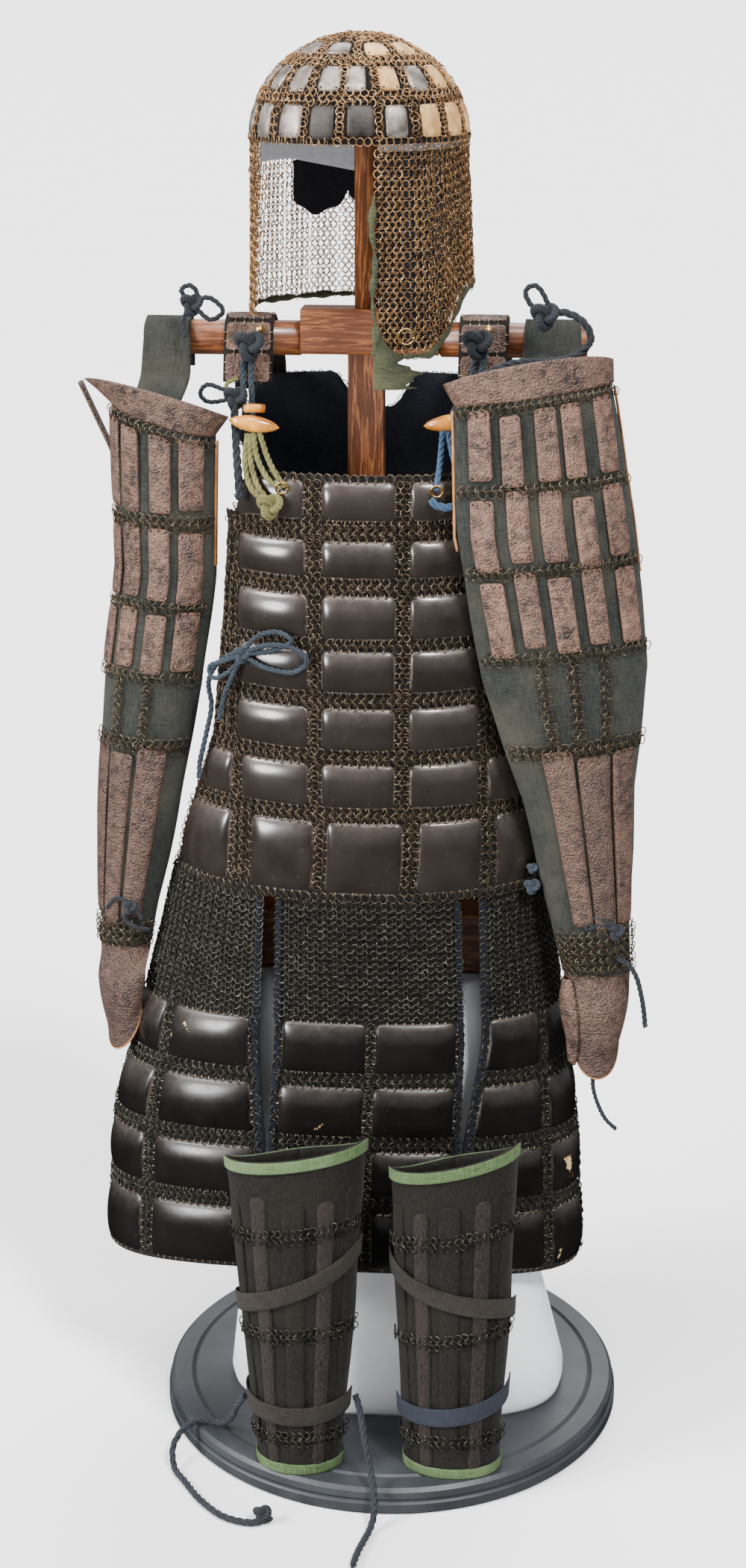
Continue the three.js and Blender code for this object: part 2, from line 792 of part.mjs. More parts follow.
function sleeveSection(sleeve, z) {
  const row = rowAt(sleeve.table, z);
  const width = Math.abs(row.outer - row.inner) / Math.cos(radians(sleeve.turn));
  return {
    x: (row.outer + row.inner) / 2,
    y: row.y,
    half: width / 2,
    front: row.depth,
    back: row.depth,
    turn: sleeve.turn,
  };
}

function buildSleeve(sleeve) {
  const { side, table } = sleeve;
  const bottom = table[0].z;
  const top = table[table.length - 1].z;
  const plates = equalBands(-75, 24, 6, 5);
  const columns = plateLines(-90, 90, plates, 5, [-79, 79]);
  for (let degrees = 120; degrees < 270; degrees += 30) columns.push({ at: degrees });
  const tubeWall = wall({
    columns,
    rows: plateLines(bottom, top, sleeve.rows, 5, [870]),
    closed: true,
    skip: 3,
    place: (column, row, inside) => {
      const angle = radians(column.at);
      const forearm = row.band === 3;
      const has = !forearm || (column.band > 0 && column.band < 4);
      const lift = raised(column, row) && has ? 3.5 : 0;
      const inner = Math.min(row.at - bottom, top - row.at);
      const slant = sleeve.slant * Math.sin(angle) * smoothStep(inner, 0, 60);
      const rise = sleeve.tilt * Math.sin(angle) * smoothStep(row.at, top - 90, top);
      return ovalPoint(sleeveSection(sleeve, row.at), angle, row.at + slant + rise, inside ? -CLOTH : lift);
    },
  });
  add("sleeve_" + side, tubeWall, "hemp");

  // Stiff band across the top of the arm
  const band = wall({
    columns: plainLines(-82, 82, 12),
    rows: [{ at: 0 }, { at: 0.5 }, { at: 1 }],
    skip: 1,
    place: (column, row, inside) => {
      const section = sleeveSection(sleeve, top);
      section.half += sleeve.collar.widen * row.at;
      section.x += sleeve.collar.shift * row.at;
      const arch = 16 * Math.cos(radians(column.at));
      const edge = top + 2 * SEAM + sleeve.tilt * Math.sin(radians(column.at));
      const flare = 4 * row.at + (inside ? -CLOTH : 1);
      return ovalPoint(section, radians(column.at), edge + (20 + arch) * row.at, flare);
    },
  });
  add("collar_" + side, band, "rough_lacquer");

  // Cloth flap from inside the front of the arm up over the bar
  const front = sleeveSection(sleeve, top);
  const flap = overBar({
    path: [
      [front.y - front.front * 0.8, top - 22],
      [front.y - front.front * 0.7, top + 6],
      [mix(front.y, -34, 0.6), mix(top, 1226, 0.6)],
      [-FLAP_INSIDE - 5, BAR.z - 8],
      [-FLAP_INSIDE * 0.72, BAR.z + FLAP_INSIDE * 0.72],
      [0, BAR.z + FLAP_INSIDE],
      [FLAP_INSIDE * 0.72, BAR.z + FLAP_INSIDE * 0.72],
      [FLAP_INSIDE + 1, BAR.z],
      [FLAP_INSIDE + 5, BAR.z - 34],
    ],
    x0: sleeve.flap.x0,
    x1: sleeve.flap.x1,
    spread: 8,
    thickness: CLOTH,
    rows: plainLines(0, 1, 14),
    columns: plainLines(0, 1, 2),
    land: (x, z, out) => {
      const angle = Math.asin((x - front.x) / front.half);
      return ovalPoint(sleeveSection(sleeve, z), angle, z, out - 2 * CLOTH - 2);
    },
    weight: (at) => 1 - smoothStep(at, 0.14, 0.4),
  });
  add("flap_" + side, flap, "hemp");

  // Rounded plate over the back of the hand
  const hand = wall({
    columns: plainLines(-85, 85, 8),
    rows: plainLines(0, 1, 6),
    skip: 1,
    place: (column, row, inside) => handPoint(sleeve, column.at, row.at, inside ? -CLOTH : 0.5),
  });
  add("hand_guard_" + side, hand, "rough_lacquer");
}

const HAND_LENGTH = 122;

// A point on the hand guard: it leaves the wrist's edge and turns to face its own way.
function handPoint(sleeve, degrees, down, out) {
  const wrist = sleeve.table[0];
  const round = Math.sqrt(1 - (0.86 * degrees / 90) ** 2);
  const z = wrist.z - SEAM - HAND_LENGTH * round * down;
  const puff = 5 * Math.sin(Math.PI * Math.min(1, down * 1.2)) - 7 * down;
  const section = { ...sleeve.hand, half: 34, front: 30, back: 30 };
  const angle = radians(degrees);
  const atWrist = ovalPoint(sleeveSection(sleeve, wrist.z), angle, z, out);
  return atWrist.lerp(ovalPoint(section, angle, z, puff + out), smoothStep(down, 0, 0.35));
}

function buildLoosePieces() {
  // A splint that has come loose and hangs slanting from the band at the far left
  const splint = new THREE.BoxGeometry(3, 14, 84);
  splint.rotateY(radians(-24));
  splint.translate(-309.2, -31, 1159.6);
  add("loose_splint", splint, "rough_lacquer");
  const right = SLEEVES[1];
  const thumb = wall({
    columns: plainLines(-1, 1, 4),
    rows: plainLines(0, 1, 5),
    skip: 1,
    place: (column, row, inside) => {
      const narrow = 24 * Math.sin(Math.PI * (0.14 + 0.74 * row.at));
      const bulge = 6 * (1 - column.at ** 2);
      const out = 0.5 + 2 * SEAM + bulge + (inside ? 0 : 2.5);
      return handPoint(right, -66 + narrow * column.at, 0.04 + 1.02 * row.at, out);
    },
  });
  add("thumb_piece", thumb, "rough_lacquer");
}

// Shin guards: two rolled cloth tubes with splints, standing on the foot of the stand

const GUARDS = [
  {
    side: "left",
    tilt: 13,
    table: [
      { z: 30, x: -86, half: 46, front: 34, back: 34, y: -206 },
      { z: 220, x: -86, half: 62, front: 38, back: 36, y: -203 },
      { z: 412, x: -88, half: 76, front: 40, back: 34, y: -199 },
    ],
  },
  {
    side: "right",
    tilt: 17,
    table: [
      { z: 30, x: 83, half: 52, front: 34, back: 34, y: -200 },
      { z: 220, x: 83, half: 62, front: 38, back: 36, y: -200 },
      { z: 410, x: 82, half: 68, front: 40, back: 34, y: -199 },
    ],
  },
];
const GUARD_FOOT = FOOT.height + SEAM;
const SPLINT = { z0: 52, z1: 372, lines: [60, 110, 220, 330, 364] };
// The back of the top edge lies lower than the front.
const GUARD_BACK_DROP = 22;

function guardPoint(guard, degrees, z, out) {
  const angle = radians(degrees);
  const top = guard.table[guard.table.length - 1].z;
  const share = (z - GUARD_FOOT) / (top - GUARD_FOOT);
  const drop = GUARD_BACK_DROP * smoothStep(-Math.cos(angle), -0.3, 1) * share ** 3;
  const lean = guard.tilt * Math.sin(angle) * share - drop;
  return ovalPoint(rowAt(guard.table, z), angle, z + lean, out);
}

// Turns of tape round a guard: where each starts and ends, as angle and height
const TAPES = [
  { name: "tape_left_upper", guard: 0, from: [-100, 232], to: [78, 296] },
  { name: "tape_left_lower", guard: 0, from: [-100, 118], to: [84, 112] },
  { name: "tape_right_upper", guard: 1, from: [-84, 300], to: [92, 222] },
  { name: "tape_right_lower", guard: 1, from: [-84, 112], to: [92, 130] },
];
const TAPE_WIDTH = 22;

function buildGuards() {
  for (const guard of GUARDS) {
    const { side, table } = guard;
    const top = table[table.length - 1].z;
    const splints = equalBands(-74, 22, 9, 5);
    const columns = plateLines(-90, 90, splints, 4);
    for (let degrees = 120; degrees < 270; degrees += 30) columns.push({ at: degrees });
    const rows = [{ at: GUARD_FOOT }, { at: SPLINT.z0 }];
    for (const at of SPLINT.lines) rows.push({ at, band: 0 });
    rows.push({ at: SPLINT.z1 }, { at: top });
    const body = wall({
      columns,
      rows,
      closed: true,
      skip: 3,
      place: (column, row, inside) =>
        guardPoint(guard, column.at, row.at, inside ? -CLOTH : raised(column, row) ? 3 : 0),
    });
    add("guard_" + side, body, "crepe");
    const bindings = [
      { name: "top", z0: top - 13, z1: top },
      { name: "foot", z0: GUARD_FOOT, z1: GUARD_FOOT + 12 },
    ];
    for (const binding of bindings) {
      const ring = wall({
        columns,
        rows: [{ at: binding.z0 }, { at: binding.z1 }],
        closed: true,
        skip: 1,
        place: (column, row, inside) =>
          guardPoint(guard, column.at, row.at, 0.6 + (inside ? 0 : 1.8)),
      });
      add("guard_" + side + "_" + binding.name + "_binding", ring, "green");
    }
  }
  for (const tape of TAPES) {
    const guard = GUARDS[tape.guard];
    const ribbon = wall({
      columns: [{ at: 0 }, { at: 1 }],
      rows: plainLines(0, 1, 12),
      skip: 1,
      place: (column, row, inside) => {
        const degrees = mix(tape.from[0], tape.to[0], row.at);
        const sag = -10 * Math.sin(Math.PI * row.at);
        const z = mix(tape.from[1], tape.to[1], row.at) + sag + TAPE_WIDTH * (column.at - 0.5);
        return guardPoint(guard, degrees, z, 4 + (inside ? 0 : 1.5));
      },
    });
    add(tape.name, ribbon, "tape");
  }
}

// Free cords: each route's points are chosen by hand
const CORDS = [
  {
    name: "cord_floor_left",
    diameter: 8,
    steps: 24,
    points: [
      [-146.8, -206, 105],
      [-157, -198, 87],
      [-168, -178, 57],
      [-184, -158, 37],
      [-203, -152, 35],
      [-222, -166, 34],
      [-233, -184, 21],
      [-229, -204, 7],
      [-212, -230, 5.5],
      [-190, -262, 5.5],
      [-160, -290, 5.5],
      [-128, -298, 5.5],
      [-108, -288, 5.5],
    ],
  },
  {
    name: "cord_floor_middle",
    diameter: 8,
    steps: 22,
    points: [
      [-23.5, -208, 113],
      [-18, -222, 105],
      [-12, -238, 83],
      [-4, -254, 55],
      [2, -270, 36],
      [4, -284, 19],
      [1, -298, 7],
      [-4, -318, 5.5],
      [-9, -340, 5.5],
      [-12, -364, 5.5],
    ],
  },
  {
    name: "cord_side_left",
    diameter: 6,
    steps: 16,
    points: [
      [-150, -102, 930],
      [-166, -91, 922],
      [-182, -79, 908],
      [-192, -70, 886],
      [-189, -72, 862],
      [-195, -74, 830],
      [-202, -76, 800],
      [-203, -78, 782],
    ],
  },
  {
    name: "cord_wrist_right",
    diameter: 6,
    steps: 10,
    points: [
      [249.3, -74.1, 588],
      [262, -73, 580],
      [271, -70, 565],
      [277, -68, 544],
      [281, -66, 522],
      [283, -66, 504],
    ],
  },
  {
    name: "cord_hand_right",
    diameter: 5,
    steps: 9,
    points: [
      [228, -69.5, 452],
      [228, -69, 432],
      [234, -68, 410],
      [243, -68, 392],
      [255, -68, 380],
    ],
  },
];

function buildCords() {
  for (const { name, points, diameter, steps } of CORDS) {
    add(name, tube(points, diameter, steps), "cord");
  }
}

buildStand();
buildCuirass();
buildStraps();
buildSkirt();
buildSlitBindings();
buildHood();
SLEEVES.forEach(buildSleeve);
buildLoosePieces();
buildGuards();
buildCords();

export default armour;
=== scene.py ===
"""Samurai armour on its stand: plates, mail, cloth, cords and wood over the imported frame."""

import math

import bpy
import numpy as np
from mathutils import Matrix, Vector


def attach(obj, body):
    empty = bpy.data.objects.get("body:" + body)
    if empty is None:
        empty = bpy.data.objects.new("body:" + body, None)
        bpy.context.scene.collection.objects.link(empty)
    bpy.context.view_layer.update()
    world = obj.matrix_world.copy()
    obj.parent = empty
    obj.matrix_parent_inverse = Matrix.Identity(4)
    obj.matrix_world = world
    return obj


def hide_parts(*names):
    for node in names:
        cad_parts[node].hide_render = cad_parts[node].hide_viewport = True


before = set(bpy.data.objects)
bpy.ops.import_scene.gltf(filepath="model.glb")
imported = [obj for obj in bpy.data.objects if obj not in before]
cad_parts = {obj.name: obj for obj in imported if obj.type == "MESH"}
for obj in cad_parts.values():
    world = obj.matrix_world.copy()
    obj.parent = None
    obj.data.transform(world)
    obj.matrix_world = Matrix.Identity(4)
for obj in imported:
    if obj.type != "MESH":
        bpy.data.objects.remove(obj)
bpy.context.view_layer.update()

# Lengths below are millimetres, as in the part's source, and become metres in the meshes.
METRE = 1000.0
random = np.random.default_rng(11)


# Camera

AZIMUTH = math.radians(5)
PITCH = math.radians(18.2)
CAMERA_AT = (0.19906, -2.53229, 1.590)
LENS = 55.8
SENSOR_WIDTH, FAR = 36, 1000


def build_camera():
    data = bpy.data.cameras.new("camera")
    data.lens = LENS
    data.sensor_width = SENSOR_WIDTH
    data.clip_end = FAR
    camera = bpy.data.objects.new("camera", data)
    bpy.context.scene.collection.objects.link(camera)
    camera.location = CAMERA_AT
    ahead = Vector((
        -math.sin(AZIMUTH) * math.cos(PITCH),
        math.cos(AZIMUTH) * math.cos(PITCH),
        -math.sin(PITCH),
    ))
    camera.rotation_euler = ahead.to_track_quat("-Z", "Y").to_euler()
    bpy.context.scene.camera = camera


# Tables and sections, as the part's source has them


def table(names, *rows):
    """Rows of numbers under named columns."""
    return dict(zip(names.split(), np.array(rows, float).T))


def read(columns, z):
    return {key: np.interp(z, columns["z"], column) for key, column in columns.items()}


def smooth_step(value, low, high):
    share = np.clip((np.asarray(value, float) - low) / (high - low), 0, 1)
    return share * share * (3 - 2 * share)


def mix(a, b, share):
    return a + (b - a) * share


def oval(row, angle, z, out, turn=0.0):
    """A point on an oval section. Angle 0 is the front and +90 degrees the viewer's right."""
    angle, z, out = np.broadcast_arrays(angle, z, out)
    depth = np.where(np.cos(angle) > 0, row["front"], row["back"])
    side, ahead = np.sin(angle), -np.cos(angle)
    across, along = side / row["half"], ahead / depth
    length = np.hypot(across, along)
    x = side * row["half"] + across / length * out
    y = ahead * depth + along / length * out
    c, s = math.cos(math.radians(turn)), math.sin(math.radians(turn))
    return np.stack([row["x"] + c * x - s * y, row.get("y", 0) + s * x + c * y, z + 0 * x], -1)


FOOT_RADIUS, FOOT_TOP = 265, 30
BAR_Z, BAR_RADIUS = 1241, 18
WAIST, HEM = 664, 226

TORSO = table(
    "z x half front back reach",
    (660, -33, 209, 127, 128, 203),
    (711, -29, 204, 127, 124, 198),
    (831, -28, 186, 127, 122, 160),
    (973, -27, 174, 124, 120, 147),
    (1080, -27, 168, 115, 114, 140),
    (1200, -27, 186, 104, 104, 150),
)
TORSO_COLUMNS = [
    [(-197, -139), (-114, -45), (-32, 49), (65, 131), (147, 196)],
    [(-192, -141), (-125, -51), (-38, 40), (54, 126), (139, 192)],
    [(-134, -51), (-38, 39), (53, 124)],
    [(-134, -51), (-38, 39), (53, 124)],
    [(-133, -52), (-38, 39), (53, 122)],
    [(-131, -54), (-38, 38), (52, 122)],
    [(-129, -56), (-38, 38), (52, 118)],
    [(-129, -58), (-38, 38), (52, 118)],
]
TORSO_ROWS = [(672, 752), (768, 816), (831, 877), (893, 938), (950, 996), (1013, 1052), (1072, 1112)]
BACK_ROW = (1122, 1166)
FRONT_TOP, BACK_TOP = 1118, 1192
INNER_COLUMNS, FLAT_HALF = 125, 200
# How far an edge drops, at which distances from the middle, and from which height up
NECK_DROP, NECK_REACH = 38, (16, 48)
BACK_DROP, BACK_REACH, BACK_SLOPE = 60, (120, 190), 1112
FRONT_DROP, FRONT_REACH, FRONT_SLOPE = 46, (105, 160), 1052


def torso(back=False):
    def place(at, z, out):
        at, z, out = np.broadcast_arrays(np.asarray(at, float), z, out)
        row = read(TORSO, z)
        size = np.abs(at)
        stretch = (row["reach"] - INNER_COLUMNS) / (FLAT_HALF - INNER_COLUMNS)
        offset = np.minimum(size, INNER_COLUMNS) + np.maximum(0, size - INNER_COLUMNS) * stretch
        angle = np.sign(at) * np.arcsin(np.clip(offset / row["half"], -1, 1))
        if back:
            notch = NECK_DROP * (1 - smooth_step(size, *NECK_REACH))
            shoulder = BACK_DROP * smooth_step(size, *BACK_REACH)
            drop = (notch + shoulder) * smooth_step(z, BACK_SLOPE, BACK_TOP)
            return oval(row, math.pi - angle, z - drop, out)
        drop = FRONT_DROP * smooth_step(size, *FRONT_REACH) * smooth_step(z, FRONT_SLOPE, FRONT_TOP)
        return oval(row, angle, z - drop, out)

    return place


SKIRT = table(
    "z x half front back",
    (150, -57, 276, 138, 142),
    (226, -57, 275, 138, 142),
    (276, -56, 272, 137, 141),
    (382, -55, 264, 134, 139),
    (453, -50, 248, 132, 136),
    (606, -39, 216, 128, 130),
    (662, -33, 208, 126, 127),
)
SKIRT_ROWS = [(230, 299), (316, 373), (390, 449), (465, 524)]
SLITS = table(
    "z left_outer left_inner right_inner right_outer",
    (226, -131, -128, 84, 87),
    (379, -131, -127, 83, 87),
    (500, -137, -119, 86, 106),
    (662, -131, -116, 79, 100),
)
SIDE_END = math.radians(89.9)
SIDE_DROP, SKIRT_TOP = 34, 662
SIDE_COLUMNS = [(0.04, 0.47), (0.53, 0.92)]
SKIRT_PANELS = {"middle": [(0.04, 0.48), (0.52, 0.96)], "left": SIDE_COLUMNS, "right": SIDE_COLUMNS}


def skirt(panel, back=False):
    def place(at, z, out):
        at, z, out = np.broadcast_arrays(np.asarray(at, float), z, out)
        row = read(SKIRT, z)
        slit = read(SLITS, HEM + 0 * z if back else z)
        angle_of = lambda x: np.arcsin((x - row["x"]) / row["half"])
        if panel == "middle":
            start, end = angle_of(slit["left_inner"]), angle_of(slit["right_inner"])
        elif panel == "left":
            start, end = angle_of(slit["left_outer"]), -SIDE_END
        else:
            start, end = angle_of(slit["right_outer"]), SIDE_END
        angle = mix(start, end, at)
        hang = z - SIDE_DROP * (SKIRT_TOP - z) / (SKIRT_TOP - HEM) * np.sin(angle) ** 2
        return oval(row, math.pi - angle if back else angle, hang, out)

    return place


HOOD_X, HOOD_HALF, HOOD_DEPTH, HOOD_TURN, HOOD_RIM, HOOD_HEIGHT = -36, 108, 116, -18, 1443, 100
LEAST = 1e-3


def crown(degrees, latitude, out):
    degrees, latitude, out = np.broadcast_arrays(np.asarray(degrees, float), latitude, out)
    ring = np.cos(np.radians(latitude))
    depth = np.maximum(HOOD_DEPTH * ring, LEAST)
    row = {"x": HOOD_X, "half": np.maximum(HOOD_HALF * ring, LEAST), "front": depth, "back": depth}
    z = HOOD_RIM + (HOOD_HEIGHT + out) * np.sin(np.radians(latitude))
    return oval(row, np.radians(degrees), z, out * ring, HOOD_TURN)


CURTAIN = table("z half front back", (1180, 116, 118, 118), (1300, 113, 117, 117), (1443, 108, 116, 116))
CURTAIN_GAP_RIGHT, CURTAIN_GAP_LEFT = 32, -40
CURTAIN_HEM = table("degrees hem", (0, 1238), (60, 1236), (95, 1292), (130, 1300), (180, 1272))
LEFT_HEM = 1272
CURTAIN_WAVE, WAVES_ROUND, WAVE_TOP = 2.5, 7, 1300


def curtain(degrees, z, out):
    row = dict(read(CURTAIN, z), x=HOOD_X)
    fade = 1 - smooth_step(z, WAVE_TOP, HOOD_RIM)
    wave = CURTAIN_WAVE * np.sin(np.radians(degrees) * WAVES_ROUND) * fade
    return oval(row, np.radians(degrees), z, out + wave, HOOD_TURN)


def curtain_side(right):
    def place(degrees, share, out):
        hem = np.interp(np.abs(degrees), CURTAIN_HEM["degrees"], CURTAIN_HEM["hem"]) if right else LEFT_HEM
        return curtain(degrees, mix(hem, HOOD_RIM - 1, share), out)

    return place


SLEEVES = {
    "left": {
        "turn": -12,
        "slant": -3,
        "tilt": -16,
        "rows": [(1067, 1150), (974, 1052), (896, 962), (600, 804)],
        "table": table(
            "z inner outer y front",
            (566, -272, -330, -8, 26),
            (613, -264, -328, -8, 30),
            (723, -238, -323, -18, 34),
            (878, -204, -311, -30, 38),
            (1003, -186, -290, -40, 38),
            (1162, -181, -290, -45, 38),
        ),
        "collar": (-6, 20),
        "hand": {"x": -298, "y": -22, "turn": -44},
        "flap": (-256, -214),
        "inner_angle": 90,
        "splints": [(-72, -38), (-33, -1), (5, 42)],
        "columns": [(-0.99, -0.74), (-0.62, -0.27), (-0.06, 0.34), (0.5, 0.88)],
    },
    "right": {
        "turn": 17,
        "slant": 5,
        "tilt": 10,
        "rows": [(1117, 1190), (1033, 1106), (942, 1022), (622, 825)],
        "table": table(
            "z inner outer y front",
            (566, 192, 264, -50, 26),
            (630, 178, 263, -55, 28),
            (777, 143, 262, -72, 28),
            (910, 101, 273, -82, 30),
            (1065, 72, 251, -94, 30),
            (1200, 68, 226, -88, 30),
        ),
        "collar": (-7, 2),
        "hand": {"x": 228, "y": -52, "turn": 14},
        "flap": (138, 190),
        "inner_angle": -90,
        "splints": [(-35, -8), (-5, 25), (28, 58)],
        "columns": [(-0.86, -0.62), (-0.49, -0.25), (-0.13, 0.13), (0.25, 0.49), (0.62, 0.86)],
    },
}
SLANT_FADE, TILT_FADE = 60, 90
COLLAR_GAP, COLLAR_HEIGHT, COLLAR_ARCH, COLLAR_FLARE = 0.6, 20, 16, 4


def sleeve_row(side, z):
    arm = SLEEVES[side]
    row = read(arm["table"], z)
    half = np.abs(row["outer"] - row["inner"]) / 2 / math.cos(math.radians(arm["turn"]))
    middle = (row["outer"] + row["inner"]) / 2
    return {"x": middle, "y": row["y"], "half": half, "front": row["front"], "back": row["front"]}


def sleeve(side):
    arm = SLEEVES[side]
    bottom, top = arm["table"]["z"][[0, -1]]

    def place(degrees, z, out):
        angle = np.radians(degrees)
        inside = np.minimum(z - bottom, top - z)
        slant = arm["slant"] * np.sin(angle) * smooth_step(inside, 0, SLANT_FADE)
        rise = arm["tilt"] * np.sin(angle) * smooth_step(z, top - TILT_FADE, top)
        return oval(sleeve_row(side, z), angle, z + slant + rise, out, arm["turn"])

    return place


def collar(side):
    arm = SLEEVES[side]
    top = arm["table"]["z"][-1]
    shift, widen = arm["collar"]

    def place(degrees, share, out):
        row = sleeve_row(side, top)
        row["half"] = row["half"] + widen * share
        row["x"] = row["x"] + shift * share
        angle = np.radians(degrees)
        height = COLLAR_HEIGHT + COLLAR_ARCH * np.cos(angle)
        z = top + COLLAR_GAP + arm["tilt"] * np.sin(angle) + height * share
        return oval(row, angle, z, COLLAR_FLARE * share + out, arm["turn"])

    return place


HAND_LENGTH, HAND_GAP, HAND_ROUND, HAND_BLEND = 122, 0.3, 0.86, 0.35
HAND_PUFF, PUFF_END, HAND_TAPER = 5, 1.2, 7
KNUCKLES = {"half": 34, "front": 30, "back": 30}
THUMB_AT, THUMB_HALF, THUMB_START, THUMB_LENGTH, THUMB_LIFT, THUMB_CROWN = -66, 24, 0.04, 1.02, 1.1, 6


def hand(side):
    arm = SLEEVES[side]
    wrist = arm["table"]["z"][0]
    knuckles = {**arm["hand"], **KNUCKLES}

    def place(degrees, down, out):
        degrees, down, out = np.broadcast_arrays(np.asarray(degrees, float), down, out)
        curve = np.sqrt(1 - (HAND_ROUND * degrees / 90) ** 2)
        z = wrist - HAND_GAP - HAND_LENGTH * curve * down
        puff = HAND_PUFF * np.sin(math.pi * np.minimum(1, down * PUFF_END)) - HAND_TAPER * down
        angle = np.radians(degrees)
        row = sleeve_row(side, wrist)
        start = oval(row, angle, z, out, arm["turn"])
        end = oval(knuckles, angle, z, puff + out, arm["hand"]["turn"])
        return mix(start, end, smooth_step(down, 0, HAND_BLEND)[..., None])

    return place


def thumb(at, share, out):
    half = THUMB_HALF * np.sin(math.pi * (0.14 + 0.74 * share))
    lift = THUMB_LIFT + THUMB_CROWN * (1 - at**2)
    return hand("right")(THUMB_AT + half * at, THUMB_START + THUMB_LENGTH * share, lift + out)


GUARD_FOOT = 30.3
GUARD_BACK_DROP = 22
GUARDS = {
    "left": {
        "tilt": 13,
        "table": table(
            "z x half front back y",
            (30, -86, 46, 34, 34, -206),
            (220, -86, 62, 38, 36, -203),
            (412, -88, 76, 40, 34, -199),
        ),
    },
    "right": {
        "tilt": 17,
        "table": table(
            "z x half front back y",
            (30, 83, 52, 34, 34, -200),
            (220, 83, 62, 38, 36, -200),
            (410, 82, 68, 40, 34, -199),
        ),
    },
}
TAPES = {
    "tape_left_upper": ("left", (-100, 232), (78, 296)),
    "tape_left_lower": ("left", (-100, 118), (84, 112)),
    "tape_right_upper": ("right", (-84, 300), (92, 222)),
    "tape_right_lower": ("right", (-84, 112), (92, 130)),
}
TAPE_WIDTH, TAPE_SAG, TAPE_LIFT = 22, 10, 4


def guard(side):
    shin = GUARDS[side]
    top = shin["table"]["z"][-1]

    def place(degrees, z, out):
        angle = np.radians(degrees)
        share = (z - GUARD_FOOT) / (top - GUARD_FOOT)
        drop = GUARD_BACK_DROP * smooth_step(-np.cos(angle), -0.3, 1) * share**3
        lean = shin["tilt"] * np.sin(angle) * share - drop
        return oval(read(shin["table"], z), angle, z + lean, out)

    return place


def tape(side, start, end):
    def place(across, along, out):
        degrees = mix(start[0], end[0], along)
        sag = TAPE_SAG * np.sin(math.pi * along)
        z = mix(start[1], end[1], along) - sag + TAPE_WIDTH * (across - 0.5)
        return guard(side)(degrees, z, TAPE_LIFT + out)

    return place


# Curves

SPAN_STEPS, PATH_POINTS = 24, 200
BEVEL = 0.72


def turns(count):
    return np.linspace(0, 2 * math.pi, count + 1)[:-1]


def unit(a):
    return a / np.maximum(np.linalg.norm(a, axis=-1, keepdims=True), 1e-9)


def run_lengths(points):
    """How far along a path each of its points lies."""
    return np.concatenate([[0], np.cumsum(np.linalg.norm(np.diff(points, axis=0), axis=1))])


def smooth_path(points, count):
    """An even walk along the centripetal spline through the points."""
    points = np.array(points, float)
    full = np.vstack([2 * points[0] - points[1], points, 2 * points[-1] - points[-2]])
    walk = []
    for k in range(1, len(full) - 2):
        p0, p1, p2, p3 = near = full[k - 1 : k + 3]
        d0, d1, d2 = (max(np.linalg.norm(step) ** 0.5, 1e-4) for step in np.diff(near, axis=0))
        t1 = ((p1 - p0) / d0 - (p2 - p0) / (d0 + d1) + (p2 - p1) / d1) * d1
        t2 = ((p2 - p1) / d1 - (p3 - p1) / (d1 + d2) + (p3 - p2) / d2) * d1
        t = np.linspace(0, 1, SPAN_STEPS, endpoint=k == len(full) - 3)[:, None]
        walk.append(p1 + t1 * t + (3 * (p2 - p1) - 2 * t1 - t2) * t**2 + (2 * (p1 - p2) + t1 + t2) * t**3)
    walk = np.vstack(walk)
    length = run_lengths(walk)
    even = np.linspace(0, length[-1], count)
    return np.stack([np.interp(even, length, walk[:, k]) for k in range(3)], -1)


def path_length(points):
    return float(np.linalg.norm(np.diff(points, axis=0), axis=1).sum())


STRAP_INSIDE = BAR_RADIUS + 3.2
STRAP_PATH = [
    (-36, 1200),
    (-30, 1222),
    (-STRAP_INSIDE, BAR_Z),
    (-STRAP_INSIDE * BEVEL, BAR_Z + STRAP_INSIDE * BEVEL),
    (0, BAR_Z + STRAP_INSIDE),
    (STRAP_INSIDE * 0.8, BAR_Z + STRAP_INSIDE * BEVEL),
    (40, 1238),
    (66, 1208),
    (84, 1176),
]
STRAPS = {"left": (-175, -124), "right": (68, 119)}
STRAP_BANDS = [(0, 0.14), (0.16, 0.3), (0.33, 0.48), (0.51, 0.66), (0.69, 0.84)]


def over_bar(path, x0, x1, spread, land, weight):
    """A strip over the shoulder bar whose one end lies on another piece."""
    flat = smooth_path([(0, y, z) for y, z in path], PATH_POINTS)
    slope = unit(np.gradient(flat, axis=0))
    spots = np.linspace(0, 1, len(flat))

    def place(across, along, out):
        across, along, out = np.broadcast_arrays(np.asarray(across, float), along, out)
        y, z = (np.interp(along, spots, flat[:, k]) for k in (1, 2))
        dy, dz = (np.interp(along, spots, slope[:, k]) for k in (1, 2))
        grow = spread * (1 - along)
        x = mix(x0 - grow, x1 + grow, across)
        free = np.stack([x, y - dz * out, z + dy * out], -1)
        return mix(free, land(x, z, out), weight(along)[..., None])

    return place


def back_point(x, z, out):
    row = read(TORSO, z)
    return oval(row, math.pi - np.arcsin((x - row["x"]) / row["half"]), z, out + 1.7)


def strap(side):
    x0, x1 = STRAPS[side]
    return over_bar(STRAP_PATH, x0, x1, 0, back_point, lambda at: smooth_step(at, 0.6, 0.92))


FLAP_INSIDE = BAR_RADIUS + 2.1


